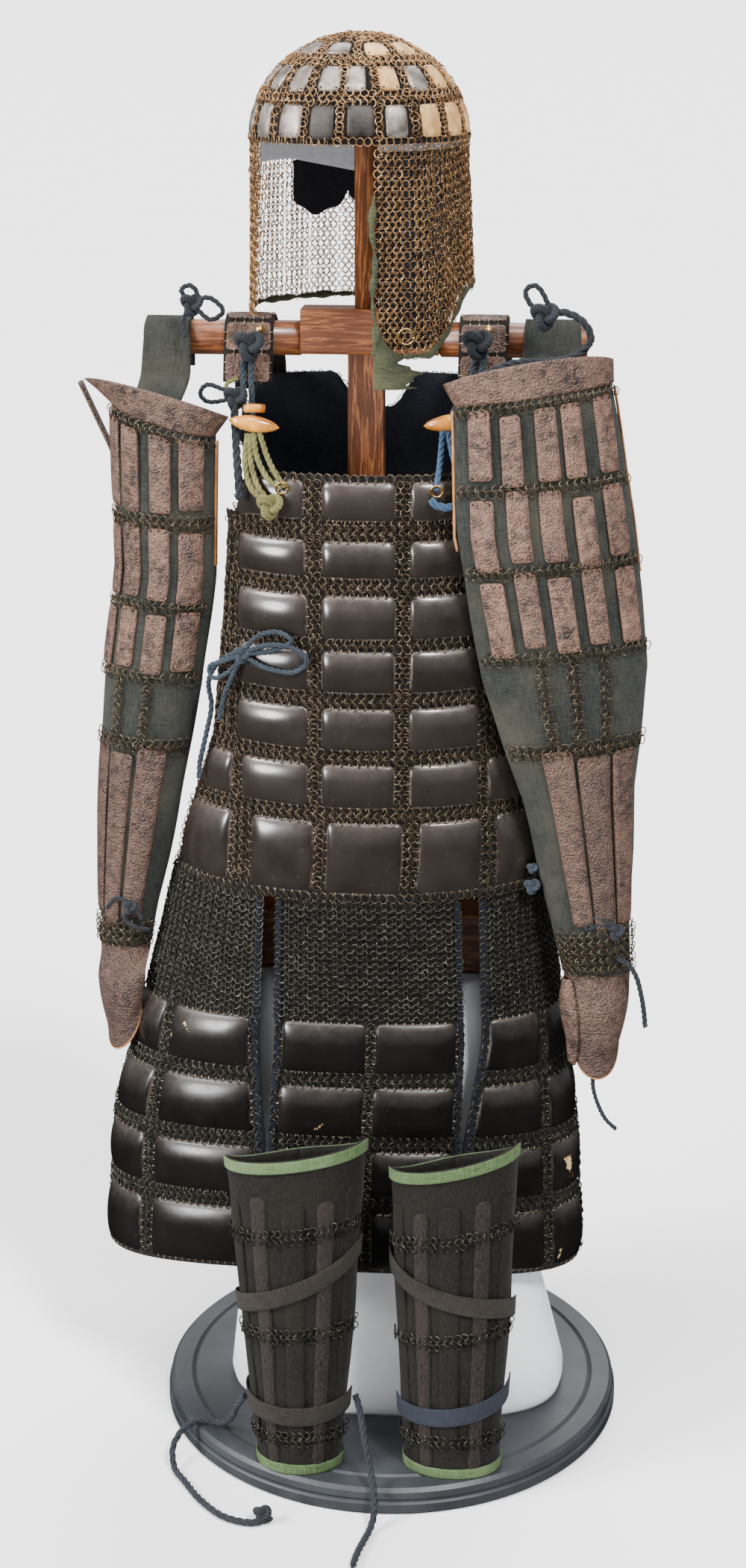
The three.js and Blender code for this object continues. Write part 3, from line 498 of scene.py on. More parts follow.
def flap(side):
    arm = SLEEVES[side]
    top = arm["table"]["z"][-1]
    front = sleeve_row(side, top)
    y, depth = float(front["y"]), float(front["front"])
    path = [
        (y - depth * 0.8, top - 22),
        (y - depth * 0.7, top + 6),
        (mix(y, -34, 0.6), mix(top, 1226, 0.6)),
        (-FLAP_INSIDE - 5, BAR_Z - 8),
        (-FLAP_INSIDE * BEVEL, BAR_Z + FLAP_INSIDE * BEVEL),
        (0, BAR_Z + FLAP_INSIDE),
        (FLAP_INSIDE * BEVEL, BAR_Z + FLAP_INSIDE * BEVEL),
        (FLAP_INSIDE + 1, BAR_Z),
        (FLAP_INSIDE + 5, BAR_Z - 34),
    ]

    def land(x, z, out):
        angle = np.arcsin((x - front["x"]) / front["half"])
        return oval(sleeve_row(side, z), angle, z, out - 6, arm["turn"])

    return over_bar(path, *arm["flap"], 8, land, lambda at: 1 - smooth_step(at, 0.14, 0.4))


# Meshes


class Build:
    """Gathers points, faces and their maps from many small solids, and makes one mesh of them."""

    def __init__(self):
        self.points, self.faces, self.uv, self.tone, self.edge = [], [], [], [], []
        self.count = 0

    def add(self, points, faces, uv=None, tone=0.5, edge=1.0):
        points = np.reshape(points, (-1, 3))
        size = len(points)
        self.points.append(points)
        self.faces += [np.asarray(f) + self.count for f in faces if len(f)]
        self.uv.append(np.zeros((size, 2)) if uv is None else np.reshape(uv, (-1, 2)))
        self.tone.append(np.broadcast_to(tone, size))
        self.edge.append(np.broadcast_to(edge, size))
        self.count += size

    def make(self, name, paint, slot, replaces=(), smooth=True):
        mesh = bpy.data.meshes.new(name)
        points = np.vstack(self.points) / METRE
        mesh.vertices.add(len(points))
        mesh.vertices.foreach_set("co", points.astype(np.float32).ravel())
        corners = np.concatenate([f.ravel() for f in self.faces])
        sizes = np.concatenate([np.full(len(f), f.shape[1]) for f in self.faces])
        mesh.loops.add(len(corners))
        mesh.loops.foreach_set("vertex_index", corners.astype(np.int32))
        mesh.polygons.add(len(sizes))
        starts = np.concatenate([[0], np.cumsum(sizes)[:-1]])
        mesh.polygons.foreach_set("loop_start", starts.astype(np.int32))
        mesh.update(calc_edges=True)
        mesh.validate()
        uv = np.vstack(self.uv)[corners] / METRE
        mesh.uv_layers.new(name="UVMap").data.foreach_set("uv", uv.astype(np.float32).ravel())
        for key, values in (("tone", self.tone), ("edge", self.edge)):
            layer = mesh.attributes.new(key, "FLOAT", "POINT")
            layer.data.foreach_set("value", np.concatenate(values).astype(np.float32))
        mesh.polygons.foreach_set("use_smooth", np.full(len(sizes), smooth))
        mesh.materials.append(PAINTS[paint])
        piece = bpy.data.objects.new(name, mesh)
        bpy.context.scene.collection.objects.link(piece)
        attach(piece, "root")
        if replaces:
            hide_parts(*replaces)
        return piece


def grid_faces(rows, columns, start=0, flip=False):
    index = np.arange(rows * columns).reshape(rows, columns) + start
    quads = np.stack([index[:-1, :-1], index[:-1, 1:], index[1:, 1:], index[1:, :-1]], -1).reshape(-1, 4)
    return quads[:, ::-1] if flip else quads


def rim_of(rows, columns):
    """The indices round the border of a grid, in order."""
    index = np.arange(rows * columns).reshape(rows, columns)
    return np.concatenate([index[0, :-1], index[:-1, -1], index[-1, :0:-1], index[:0:-1, 0]])


def arc_lengths(points):
    """How far each point of a grid lies along its columns and rows."""
    across = np.zeros(points.shape[:2])
    down = np.zeros(points.shape[:2])
    across[:, 1:] = np.cumsum(np.linalg.norm(np.diff(points, axis=1), axis=-1), axis=1)
    down[1:] = np.cumsum(np.linalg.norm(np.diff(points, axis=0), axis=-1), axis=0)
    return np.stack([across - across[:, -1:] / 2, down], -1)


def outward(place, u, v, out):
    """True where the grid's own winding faces out of the surface."""
    a, b, c = place(u[0], v[0], out), place(u[1], v[0], out), place(u[0], v[1], out)
    normal = np.cross(b - a, c - a)
    return np.dot(normal, place(u[0], v[0], out + 1) - a) > 0


def shell(build, place, u, v, outer, inner, tone=0.5):
    """A closed sheet between two distances from a surface. u and v are start, end and count."""
    u, v = np.linspace(*u), np.linspace(*v)
    grid_u, grid_v = np.meshgrid(u, v)
    top, low = place(grid_u, grid_v, outer), place(grid_u, grid_v, inner)
    rows, columns = grid_u.shape
    size = rows * columns
    middle_u, middle_v = len(u) // 2, len(v) // 2
    flip = not outward(place, u[middle_u - 1 :][:2], v[middle_v - 1 :][:2], (outer + inner) / 2)
    rim = rim_of(rows, columns)
    wall = np.stack([rim, rim + size, np.roll(rim, -1) + size, np.roll(rim, -1)], -1)
    faces = [
        grid_faces(rows, columns, 0, flip),
        grid_faces(rows, columns, size, not flip),
        wall[:, ::-1] if flip else wall,
    ]
    uv = arc_lengths(top)
    build.add(np.concatenate([top.reshape(-1, 3), low.reshape(-1, 3)]), faces, np.concatenate([uv, uv]), tone)


def one_shell(name, paint, slot, replaces, place, u, v, outer, inner, tone=0.5):
    """A piece that is one closed sheet."""
    build = Build()
    shell(build, place, u, v, outer, inner, tone)
    build.make(name, paint, slot, replaces)


LINE_POINTS, SIDE_POINTS, NUDGE = 60, 12, 1e-3


def even_lines(place, u, v, pitch, out=0.0):
    """Centres of equal cells over a patch, measured along the surface."""
    fine = np.linspace(*u, LINE_POINTS)
    length = run_lengths(place(fine, np.full(LINE_POINTS, np.mean(v)), out))
    tall = path_length(place(np.full(SIDE_POINTS, np.mean(u)), np.linspace(*v, SIDE_POINTS), out))
    columns = max(1, round(length[-1] / pitch[0]))
    rows = max(1, round(tall / pitch[1]))
    at = np.interp((np.arange(columns) + 0.5) / columns * length[-1], length, fine)
    return at, mix(v[0], v[1], (np.arange(rows) + 0.5) / rows), length[-1] / columns, tall / rows


def frames(place, at_u, at_v, out, u, v):
    """Points of a patch, and the directions across, up and outwards there."""
    here = place(at_u, at_v, out)
    across = place(at_u + (u[1] - u[0]) * NUDGE, at_v, out) - here
    up = place(at_u, at_v + (v[1] - v[0]) * NUDGE, out) - here
    across, normal = unit(across), unit(np.cross(across, up))
    facing = np.sign(np.sum((place(at_u, at_v, out + 1) - here) * normal, -1, keepdims=True))
    normal = normal * np.where(facing == 0, 1, facing)
    return here, across, unit(np.cross(normal, across)), normal


def ring_template(radius, wire, segments, sides=3):
    a, s = np.meshgrid(turns(segments), turns(sides), indexing="ij")
    reach = radius + wire * np.cos(s)
    points = np.stack([reach * np.cos(a), reach * np.sin(a), wire * np.sin(s)], -1).reshape(-1, 3)
    i, j = np.meshgrid(np.arange(segments), np.arange(sides), indexing="ij")
    at = lambda p, q: (p % segments) * sides + q % sides
    quads = np.stack([at(i, j), at(i + 1, j), at(i + 1, j + 1), at(i, j + 1)], -1).reshape(-1, 4)
    return points, quads


def staple_template(length, wire, rise):
    """A short bent bar over the wires that it links."""
    spine = np.array([(-length / 2, 0, -rise / 2), (0, 0, rise), (length / 2, 0, -rise / 2)])
    section = turns(3)
    ring = np.stack([0 * section, wire * np.cos(section), wire * np.sin(section)], -1)
    points = (spine[:, None] + ring[None]).reshape(-1, 3)
    steps = [(k, j, (j + 1) % 3) for k in (0, 3) for j in range(3)]
    quads = [(k + j, k + n, k + 3 + n, k + 3 + j) for k, j, n in steps]
    ends = [(0, 2, 1), (6, 7, 8)]
    return points, np.array(quads), np.array(ends)


def scatter(build, template, faces, here, axes, tone):
    """Copies of a small solid, one in each frame."""
    here = here.reshape(-1, 3)
    axes = [a.reshape(-1, 3) for a in axes]
    points = here[:, None] + sum(template[None, :, k, None] * axes[k][:, None] for k in range(3))
    shift = (np.arange(len(here)) * len(template))[:, None, None]
    faces = [(f[None] + shift).reshape(-1, f.shape[1]) for f in faces]
    build.add(points, faces, None, np.repeat(tone, len(template)))


RING_LEAN, RING_SIZE, RING_REACH = math.radians(25), 0.56, 1.15
RING_SHIFT, RING_SWING = 0.3, 0.12
FINE_PITCH, FINE_SEGMENTS, RING_SEGMENTS = 7.6, 8, 7


def mail(build, place, u, v, pitch=(9.2, 5.4), out=2.0, wire=0.7, turned=False):
    """Fills a patch with staggered rows of rings that lean by turns, each through its four neighbours."""
    at, rows, wide, tall = even_lines(place, u, v, pitch[::-1] if turned else pitch, out)
    lines, spaced, wide = (at, rows, tall) if turned else (rows, at, wide)
    between = (spaced[1:] + spaced[:-1]) / 2 if len(spaced) > 1 else spaced
    spots = []
    for k, line in enumerate(lines):
        for spot in between if k % 2 else spaced:
            spots.append((*((line, spot) if turned else (spot, line)), 1 - 2 * (k % 2)))
    at_u, at_v, side = np.array(spots).T
    here, across, up, normal = frames(place, at_u, at_v, out, u, v)
    here = here + random.normal(0, RING_SHIFT, here.shape)
    lean = (RING_LEAN * side + random.normal(0, RING_SWING, len(side)))[:, None]
    nod = random.normal(0, RING_SWING, len(side))[:, None]
    if turned:
        across, up = up, -across
    radius = RING_SIZE * min(wide, pitch[0] * RING_REACH)
    ring, quads = ring_template(radius, wire, FINE_SEGMENTS if pitch[0] < FINE_PITCH else RING_SEGMENTS)
    cos, sin = np.cos(lean), np.sin(lean)
    axes = [across * cos + normal * sin, up + normal * nod, normal * cos - across * sin]
    scatter(build, ring, [quads], here, axes, random.random(len(side)))


def eased(count):
    """Steps from -1 to 1 that lie closer together towards the ends."""
    even = np.linspace(-1, 1, count)
    return np.sin(even * math.pi / 2) * 0.75 + even * 0.25


def plate_grid(place, u, v, corner, size):
    """Rounded plate in a surface's own coordinates, with each point's place in the plate."""
    wide = path_length(place(np.linspace(*u, SIDE_POINTS), np.full(SIDE_POINTS, np.mean(v)), 0)) / 2
    tall = path_length(place(np.full(SIDE_POINTS, np.mean(u)), np.linspace(*v, SIDE_POINTS), 0)) / 2
    corner = min(corner, 0.95 * wide, 0.95 * tall)
    s, t = np.meshgrid(eased(size[0]), eased(size[1]))
    x, y = s * wide, t * tall
    core_x = np.clip(x, corner - wide, wide - corner)
    core_y = np.clip(y, corner - tall, tall - corner)
    dx, dy = x - core_x, y - core_y
    reach = np.hypot(dx, dy)
    shrink = np.where(reach > 0, np.maximum(np.abs(dx), np.abs(dy)) / np.maximum(reach, 1e-9), 1)
    x, y = core_x + dx * shrink, core_y + dy * shrink
    to_u = lambda a: np.mean(u) + a / wide * (u[1] - u[0]) / 2
    to_v = lambda a: np.mean(v) + a / tall * (v[1] - v[0]) / 2
    edge = np.minimum(wide - np.abs(x), tall - np.abs(y))
    return s, t, to_u(x), to_v(y), edge, (wide, tall, corner, to_u, to_v)


PLATE_FOOT = -0.4


def plate(
    build, place, u, v, height, corner, base=1.4, power=(5, 2.2), size=(17, 11), stitch=None, tone=None
):
    """A bulged plate on a surface, closed behind, with its row of stitches."""
    s, t, grid_u, grid_v, edge, maps = plate_grid(place, u, v, corner, size)
    dome = np.sqrt(np.clip(1 - np.abs(s) ** power[0], 0, 1)) * np.clip(1 - np.abs(t) ** power[1], 0, 1) ** 0.7
    top = place(grid_u, grid_v, base + height * dome)
    rows, columns = s.shape
    rim = rim_of(rows, columns)
    foot = place(grid_u.ravel()[rim], grid_v.ravel()[rim], PLATE_FOOT)
    count = len(rim)
    flip = not outward(place, u, v, 0)
    start = rows * columns
    ring = np.arange(count)
    wall = np.stack([rim, start + ring, start + np.roll(ring, -1), np.roll(rim, -1)], -1)
    centre = start + count
    fan = np.stack([start + ring, np.full(count, centre), start + np.roll(ring, -1)], -1)
    middle = place(np.mean(u), np.mean(v), PLATE_FOOT)
    turn = (lambda f: f[:, ::-1]) if flip else (lambda f: f)
    points = np.concatenate([top.reshape(-1, 3), foot, np.reshape(middle, (1, 3))])
    uv = arc_lengths(top).reshape(-1, 2)
    uv = np.concatenate([uv, uv[rim], uv[:1]])
    edges = np.concatenate([edge.ravel(), np.zeros(count + 1)]) / 10
    own = random.random() if tone is None else tone
    build.add(points, [grid_faces(rows, columns, 0, flip), turn(wall), turn(fan)], uv, own, edges)
    if stitch is not None:
        sew(stitch, place, u, v, maps, base)
    return maps


def sew(build, place, u, v, maps, base, pitch=8.8, length=5.6, wire=0.85):
    """Short bars over the edge of a plate, where rings pass through its holes."""
    wide, tall, corner, to_u, to_v = maps
    spots = []
    for size, other, axis in ((wide, tall, 0), (tall, wide, 1)):
        run = size - corner
        count = max(2, round(2 * run / pitch))
        along = (np.arange(count) + 0.5) / count * 2 * run - run
        for sign in (-1, 1):
            here = np.stack([along, np.full(count, sign * (other - 0.4))], -1)
            away = np.tile([0.0, sign], (count, 1))
            turned = slice(None, None, -1 if axis else 1)
            spots.append(np.concatenate([here[:, turned], away[:, turned]], 1))
    spots = np.concatenate(spots)
    at_u, at_v = to_u(spots[:, 0]), to_v(spots[:, 1])
    here, across, up, normal = frames(place, at_u, at_v, base + 0.2, u, v)
    along = across * spots[:, 2:3] + up * spots[:, 3:4]
    side = np.cross(normal, along)
    staple, bars, ends = staple_template(length, wire, 1.1)
    scatter(build, staple, [bars, ends], here, [along, side, normal], random.random(len(here)))


def holes(build, place, u, v, maps, out, inset=3.4, radius=1.05):
    """Small dark discs for the eyelets near the corners of a plate, near-black for the cloth behind and the
    painted shade inside the holes.
    """
    wide, tall, _, to_u, to_v = maps
    spots = np.array([(x, y) for x in (-1, 1) for y in (-1, 1)], float) * (wide - inset, tall - inset)
    here, across, up, normal = frames(place, to_u(spots[:, 0]), to_v(spots[:, 1]), out, u, v)
    angle = turns(6)
    rim = np.stack([radius * np.cos(angle), radius * np.sin(angle), 0 * angle], -1)
    points = np.concatenate([rim, rim - [0, 0, 0.8]])
    ring = np.arange(6)
    wall = np.stack([ring, ring + 6, np.roll(ring, -1) + 6, np.roll(ring, -1)], -1)
    faces = [wall, ring[None], ring[None, ::-1] + 6]
    scatter(build, points, faces, here, [across, up, normal], np.zeros(len(spots)))


def ring_faces(count, sides):
    """The quads between rings of points, and the two ends."""
    index = np.arange(count * sides).reshape(count, sides)
    right = np.roll(index, -1, 1)
    quads = np.stack([index[:-1], right[:-1], right[1:], index[1:]], -1).reshape(-1, 4)
    return quads, index[0][None, ::-1], index[-1][None]


def tube(build, path, radius, sides):
    """A round tube along a path, with a map along and round it. The radius may change."""
    path = np.asarray(path, float)
    count = len(path)
    radius = np.broadcast_to(radius, count)
    along = unit(np.gradient(path, axis=0))
    side = np.zeros_like(path)
    side[0] = unit(np.cross(along[0], (0, 0, 1) if abs(along[0][2]) < 0.9 else (1, 0, 0)))
    for k in range(1, count):
        side[k] = unit(side[k - 1] - along[k] * np.dot(side[k - 1], along[k]))
    other = np.cross(along, side)
    angle = turns(sides)
    c, s = np.cos(angle)[None, :, None], np.sin(angle)[None, :, None]
    points = path[:, None] + radius[:, None, None] * (c * side[:, None] + s * other[:, None])
    uv = np.stack(np.broadcast_arrays((angle * radius.mean())[None], run_lengths(path)[:, None]), -1)
    quads, *ends = ring_faces(count, sides)
    build.add(points, [np.roll(quads, -1, 1), *ends], uv)


STRANDS, STRAND_OFFSET, STRAND_RADIUS, STRAND_SIDES = 3, 0.5, 0.52, 6
TWIST_PITCH, TWIST_STEPS = 7, 9
ACROSS = (0.3, 0.2, 0.93)


def twist(build, path, radius):
    """A cord of round strands that wind round its path. The other measures are in its radii."""
    pitch = radius * TWIST_PITCH
    length = path_length(path)
    fine = smooth_path(path, max(8, int(length / (pitch / TWIST_STEPS))))
    along = unit(np.gradient(fine, axis=0))
    side = unit(np.cross(along, ACROSS))
    other = np.cross(along, side)
    turn = np.linspace(0, length / pitch * 2 * math.pi, len(fine))
    for k in range(STRANDS):
        angle = (turn + 2 * math.pi * k / STRANDS)[:, None]
        strand = fine + STRAND_OFFSET * radius * (np.cos(angle) * side + np.sin(angle) * other)
        tube(build, strand, STRAND_RADIUS * radius, STRAND_SIDES)


def knot(build, centre, size, radius):
    """A trefoil of cord, pulled tight, about as wide as the size."""
    t = np.linspace(0, 2 * math.pi, 49)
    path = np.stack([np.sin(t) + 2 * np.sin(2 * t), -np.sin(3 * t), np.cos(t) - 2 * np.cos(2 * t)], -1)
    tube(build, path * size / 6 + np.array(centre, float), radius, 8)


def hoop(build, centre, size, wire):
    """A ring of wire that stands upright and leans forward."""
    t = np.linspace(0, 2 * math.pi, 33)
    path = np.stack([np.cos(t), -0.25 * np.sin(t), np.sin(t)], -1)
    tube(build, path * size + np.array(centre, float), wire, 8)


def lathe(build, profile, centre, axis, steps):
    """A turned solid: profile points are radius and distance along the axis."""
    profile = np.array(profile, float)
    angle = turns(steps)
    radius, along = profile[:, 0][:, None], profile[:, 1][:, None]
    a, b, c = radius * np.cos(angle), radius * np.sin(angle), along + 0 * angle
    points = {"Z": (a, b, c), "X": (c, a, b), "Y": (b, c, a)}[axis]
    uv = np.stack(np.broadcast_arrays(angle * profile[:, 0].max(), along), -1)
    build.add(np.stack(points, -1) + np.array(centre, float), ring_faces(len(profile), steps), uv)


# Materials


class Paint:
    """A material and short ways to add nodes to it."""

    def __init__(self, name, roughness=0.6, metallic=0.0, **sockets):
        self.material = bpy.data.materials.new(name)
        self.material.use_nodes = True
        self.tree = self.material.node_tree
        self.shader = self.tree.nodes["Principled BSDF"]
        coords = self.tree.nodes.new("ShaderNodeTexCoord")
        self.place, self.uv, self.facing = (coords.outputs[key] for key in ("Object", "UV", "Normal"))
        self.plug(self.shader.inputs["Roughness"], roughness)
        self.plug(self.shader.inputs["Metallic"], metallic)
        for key, value in sockets.items():
            self.plug(self.shader.inputs[key.replace("_", " ")], value)

    def plug(self, socket, value):
        if isinstance(value, bpy.types.NodeSocket):
            self.tree.links.new(value, socket)
        else:
            socket.default_value = value

    def node(self, kind, inputs, output=0, **settings):
        made = self.tree.nodes.new("ShaderNode" + kind)
        for key, value in settings.items():
            setattr(made, key, value)
        for key, value in inputs.items():
            self.plug(made.inputs[key], value)
        return made.outputs[output]

    def height_of(self, vector):
        return self.node("SeparateXYZ", {0: vector}, 2)

    def attribute(self, name):
        return self.node("Attribute", {}, "Fac", attribute_name=name)

    def stretched(self, where, scale):
        return self.node("VectorMath", {0: where, 1: scale}, operation="MULTIPLY")

    def noise(self, scale, detail=3.0, where=None, rough=0.55):
        inputs = {"Vector": where or self.place, "Scale": scale, "Detail": detail, "Roughness": rough}
        return self.node("TexNoise", inputs)

    def cells(self, scale):
        return self.node("TexVoronoi", {"Vector": self.place, "Scale": scale})

    def math(self, operation, a, b=0.0):
        return self.node("Math", {0: a, 1: b}, operation=operation)

    def times(self, a, b):
        return self.math("MULTIPLY", a, b)

    def plus(self, a, b):
        return self.math("ADD", a, b)

    def minus(self, a, b):
        return self.math("SUBTRACT", a, b)

    def ramp(self, factor, *stops):
        made = self.tree.nodes.new("ShaderNodeValToRGB")
        elements = made.color_ramp.elements
        while len(elements) < len(stops):
            elements.new(0.5)
        for element, (at, colour) in zip(elements, stops):
            element.position = at
            level = (colour,) * 3 if isinstance(colour, (int, float)) else colour
            element.color = (*level, 1)
        self.plug(made.inputs[0], factor)
        return made.outputs[0]

    def blend(self, factor, a, b, mode="MIX"):
        wide = lambda c: c if isinstance(c, bpy.types.NodeSocket) else (*c, 1)
        return self.node("Mix", {0: factor, 6: wide(a), 7: wide(b)}, 2, data_type="RGBA", blend_type=mode)

    def bump(self, height, distance, strength=1.0, under=None):
        inputs = {"Height": height, "Distance": distance, "Strength": strength}
        if under is not None:
            inputs["Normal"] = under
        return self.node("Bump", inputs)

    def weave(self, pitch):
        """Height of a plain weave with that pitch in metres, on the piece's own map."""
        parts = self.tree.nodes.new("ShaderNodeSeparateXYZ")
        self.plug(parts.inputs[0], self.uv)
        wave = lambda axis: self.math("SINE", self.times(parts.outputs[axis], math.pi / pitch))
        return self.math("ABSOLUTE", self.times(wave(0), wave(1)))

    def done(self, colour, normal=None, roughness=None):
        self.plug(self.shader.inputs["Base Color"], colour)
        if normal is not None:
            self.plug(self.shader.inputs["Normal"], normal)
        if roughness is not None:
            self.plug(self.shader.inputs["Roughness"], roughness)
        return self.material


def lacquer_paint(name, dark, worn, chip, chips, **sockets):
    """Dark gloss, worn pale on the edges, paler where it faces up from dust and a painted reflection of the
    light above, and chipped where the tone is above one.
    """
    paint = Paint(name, Specular_IOR_Level=0.45, **sockets)
    edge, tone = paint.attribute("edge"), paint.attribute("tone")
    cloud, fine, grain = paint.noise(28, 5), paint.noise(260, 4), paint.noise(90, 6, rough=0.7)
    rough_cloud = paint.plus(paint.times(cloud, 0.6), paint.times(grain, 0.4))
    uneven = paint.times(paint.minus(rough_cloud, 0.5), 0.9)
    wear = paint.ramp(paint.plus(edge, uneven), (-0.02, 1), (0.24, 0))
    base = paint.blend(paint.ramp(cloud, (0.35, 0), (0.7, 1)), dark, [c * 1.7 for c in dark])
    base = paint.blend(paint.times(tone, 0.3), base, [c * 2.2 for c in dark])
    # Paler on what faces up: dust, and a painted reflection of the light from above, in four fifths of the
    # worn colour.
    up = paint.plus(paint.height_of(paint.facing), paint.times(uneven, 0.2))
    faces_up = paint.ramp(up, (0.12, 0), (0.75, 1))
    dust_and_sheen = paint.times(faces_up, paint.ramp(grain, (0.3, 0.25), (0.7, 0.95)))
    base = paint.blend(dust_and_sheen, base, [c * 0.8 for c in worn])
    base = paint.blend(paint.times(wear, 0.75), base, worn)
    marked = paint.times(paint.math("MAXIMUM", paint.minus(tone, 1.0), 0.0), 0.3)
    large = paint.noise(17, 6, rough=0.62)
    lost = paint.ramp(paint.plus(large, marked), (chips, 0), (chips + 0.012, 1))
    base = paint.blend(lost, base, chip)
    base = paint.blend(paint.times(paint.ramp(fine, (0.66, 0), (0.74, 1)), 0.3), base, worn)
    spread = paint.plus(paint.times(cloud, 0.5), paint.math("MAXIMUM", wear, dust_and_sheen))
    height = paint.minus(paint.times(fine, 0.03), lost)
    return paint.done(base, paint.bump(height, 0.0006, 0.6), paint.ramp(spread, (0.2, 0.2), (1.0, 0.55)))


def rough_paint(name, dark, light):
    """Crumbly reddish lacquer with a pebbled surface."""
    paint = Paint(name, Specular_IOR_Level=0.6)
    pebble, crumb, cloud = paint.noise(420, 3), paint.cells(460), paint.noise(22, 4)
    mottled = paint.blend(paint.ramp(paint.noise(120, 5), (0.36, 0), (0.68, 1)), dark, light)
    base = paint.blend(paint.ramp(cloud, (0.4, 0), (0.72, 0.6)), mottled, [c * 1.4 for c in light])
    rim = paint.ramp(paint.attribute("edge"), (0.0, 0.5), (0.25, 0))
    base = paint.blend(rim, base, [c * 1.3 for c in light])
    base = paint.blend(paint.times(paint.attribute("tone"), 0.7), base, dark)
    pits = paint.ramp(paint.noise(700, 2), (0.34, 0.35), (0.45, 1))
    base = paint.blend(1.0, base, pits, "MULTIPLY")
    height = paint.plus(pebble, paint.times(crumb, 0.5))
    return paint.done(base, paint.bump(height, 0.0034, 1.0), paint.ramp(pebble, (0.4, 0.55), (0.65, 0.22)))


def iron_paint(name, dark, rust, rubbed_and_glint):
    paint = Paint(name, roughness=0.36, metallic=0.75)
    tone, patch = paint.attribute("tone"), paint.noise(26, 4)
    base = paint.blend(paint.ramp(tone, (0.0, 0.15), (1.0, 0.8)), dark, rust)
    base = paint.blend(paint.ramp(patch, (0.45, 0), (0.75, 0.6)), base, rust)
    # Bright patches of rubbed metal, which also paint glints on the rings.
    base = paint.blend(paint.ramp(paint.noise(160, 3), (0.55, 0), (0.8, 0.5)), base, rubbed_and_glint)
    return paint.done(base)


def cloth_paint(name, dark, light, pitch, fade=None, thread_gap_shade=0.4):
    paint = Paint(name, roughness=0.95, Sheen_Weight=0.03, Specular_IOR_Level=0.12)
    threads = paint.weave(pitch)
    cloud = paint.noise(9, 5)
    slub = paint.noise(1.0, 4, paint.stretched(paint.uv, (60, 900, 1)))
    slub_up = paint.noise(1.0, 4, paint.stretched(paint.uv, (900, 60, 1)))
    uneven = paint.plus(paint.times(slub, 0.5), paint.times(slub_up, 0.5))
    base = paint.blend(paint.ramp(uneven, (0.36, 0), (0.64, 1)), dark, light)
    # Darker in the gaps between the threads, towards a quarter of the dark colour: painted shade in the
    # weave.
    base = paint.blend(paint.ramp(threads, (0.0, thread_gap_shade), (0.4, 0)), base, [c * 0.25 for c in dark])
    base = paint.blend(paint.ramp(cloud, (0.45, 0), (0.75, 0.7)), base, fade or light)
    height = paint.plus(threads, uneven)
    return paint.done(base, paint.bump(height, 0.0005, 0.9))


def crepe_paint(name, dark, light):
    paint = Paint(name, roughness=0.95, Sheen_Weight=0.03, Specular_IOR_Level=0.15)
    crinkle = paint.noise(1.0, 5, paint.stretched(paint.uv, (420, 150, 1)), 0.65)
    cloud = paint.noise(14, 4)
    base = paint.blend(paint.ramp(crinkle, (0.38, 0), (0.66, 1)), dark, light)
    base = paint.blend(paint.ramp(cloud, (0.42, 0), (0.72, 0.6)), base, light)
    return paint.done(base, paint.bump(crinkle, 0.0012, 0.9))


CORD_PITCH = 0.0024


def cord_paint(name, dark, light):
    paint = Paint(name, roughness=0.85, Sheen_Weight=0.05, Specular_IOR_Level=0.2)
    strands = paint.weave(CORD_PITCH)
    # Dark in the grooves between strands and light on their crests: painted shade and a painted highlight on
    # the cord's relief.
    base = paint.blend(paint.ramp(strands, (0.05, 0), (0.7, 1)), dark, light)
    base = paint.blend(paint.ramp(paint.noise(60, 4), (0.4, 0), (0.7, 0.6)), base, light)
    return paint.done(base, paint.bump(paint.plus(strands, paint.noise(900, 2)), 0.0006, 0.8))


def wood_paint(name, dark, light, along="X"):
    paint = Paint(name, roughness=0.38, Coat_Weight=0.3, Coat_Roughness=0.2)
    scale = {"X": (1.2, 16, 16), "Z": (16, 16, 1.2)}[along]
    grain = paint.noise(3.4, 6, paint.stretched(paint.place, scale), 0.62)
    fibre = paint.noise(22, 4, paint.stretched(paint.place, scale), 0.7)
    rings = paint.math("SINE", paint.times(grain, 60.0))
    base = paint.blend(paint.ramp(rings, (0.2, 0), (0.9, 0.5)), dark, light)
    base = paint.blend(paint.ramp(fibre, (0.35, 0), (0.7, 0.6)), base, [c * 0.4 for c in dark])
    return paint.done(base, paint.bump(fibre, 0.0004, 0.5))


def plain_paint(name, dark, light, roughness, metallic=0.0, scale=30.0, depth=0.0003, **sockets):
    paint = Paint(name, roughness=roughness, metallic=metallic, **sockets)
    cloud, fine = paint.noise(scale, 5), paint.noise(scale * 12, 3)
    base = paint.blend(paint.ramp(cloud, (0.35, 0), (0.7, 1)), dark, light)
    return paint.done(base, paint.bump(fine, depth, 0.5))


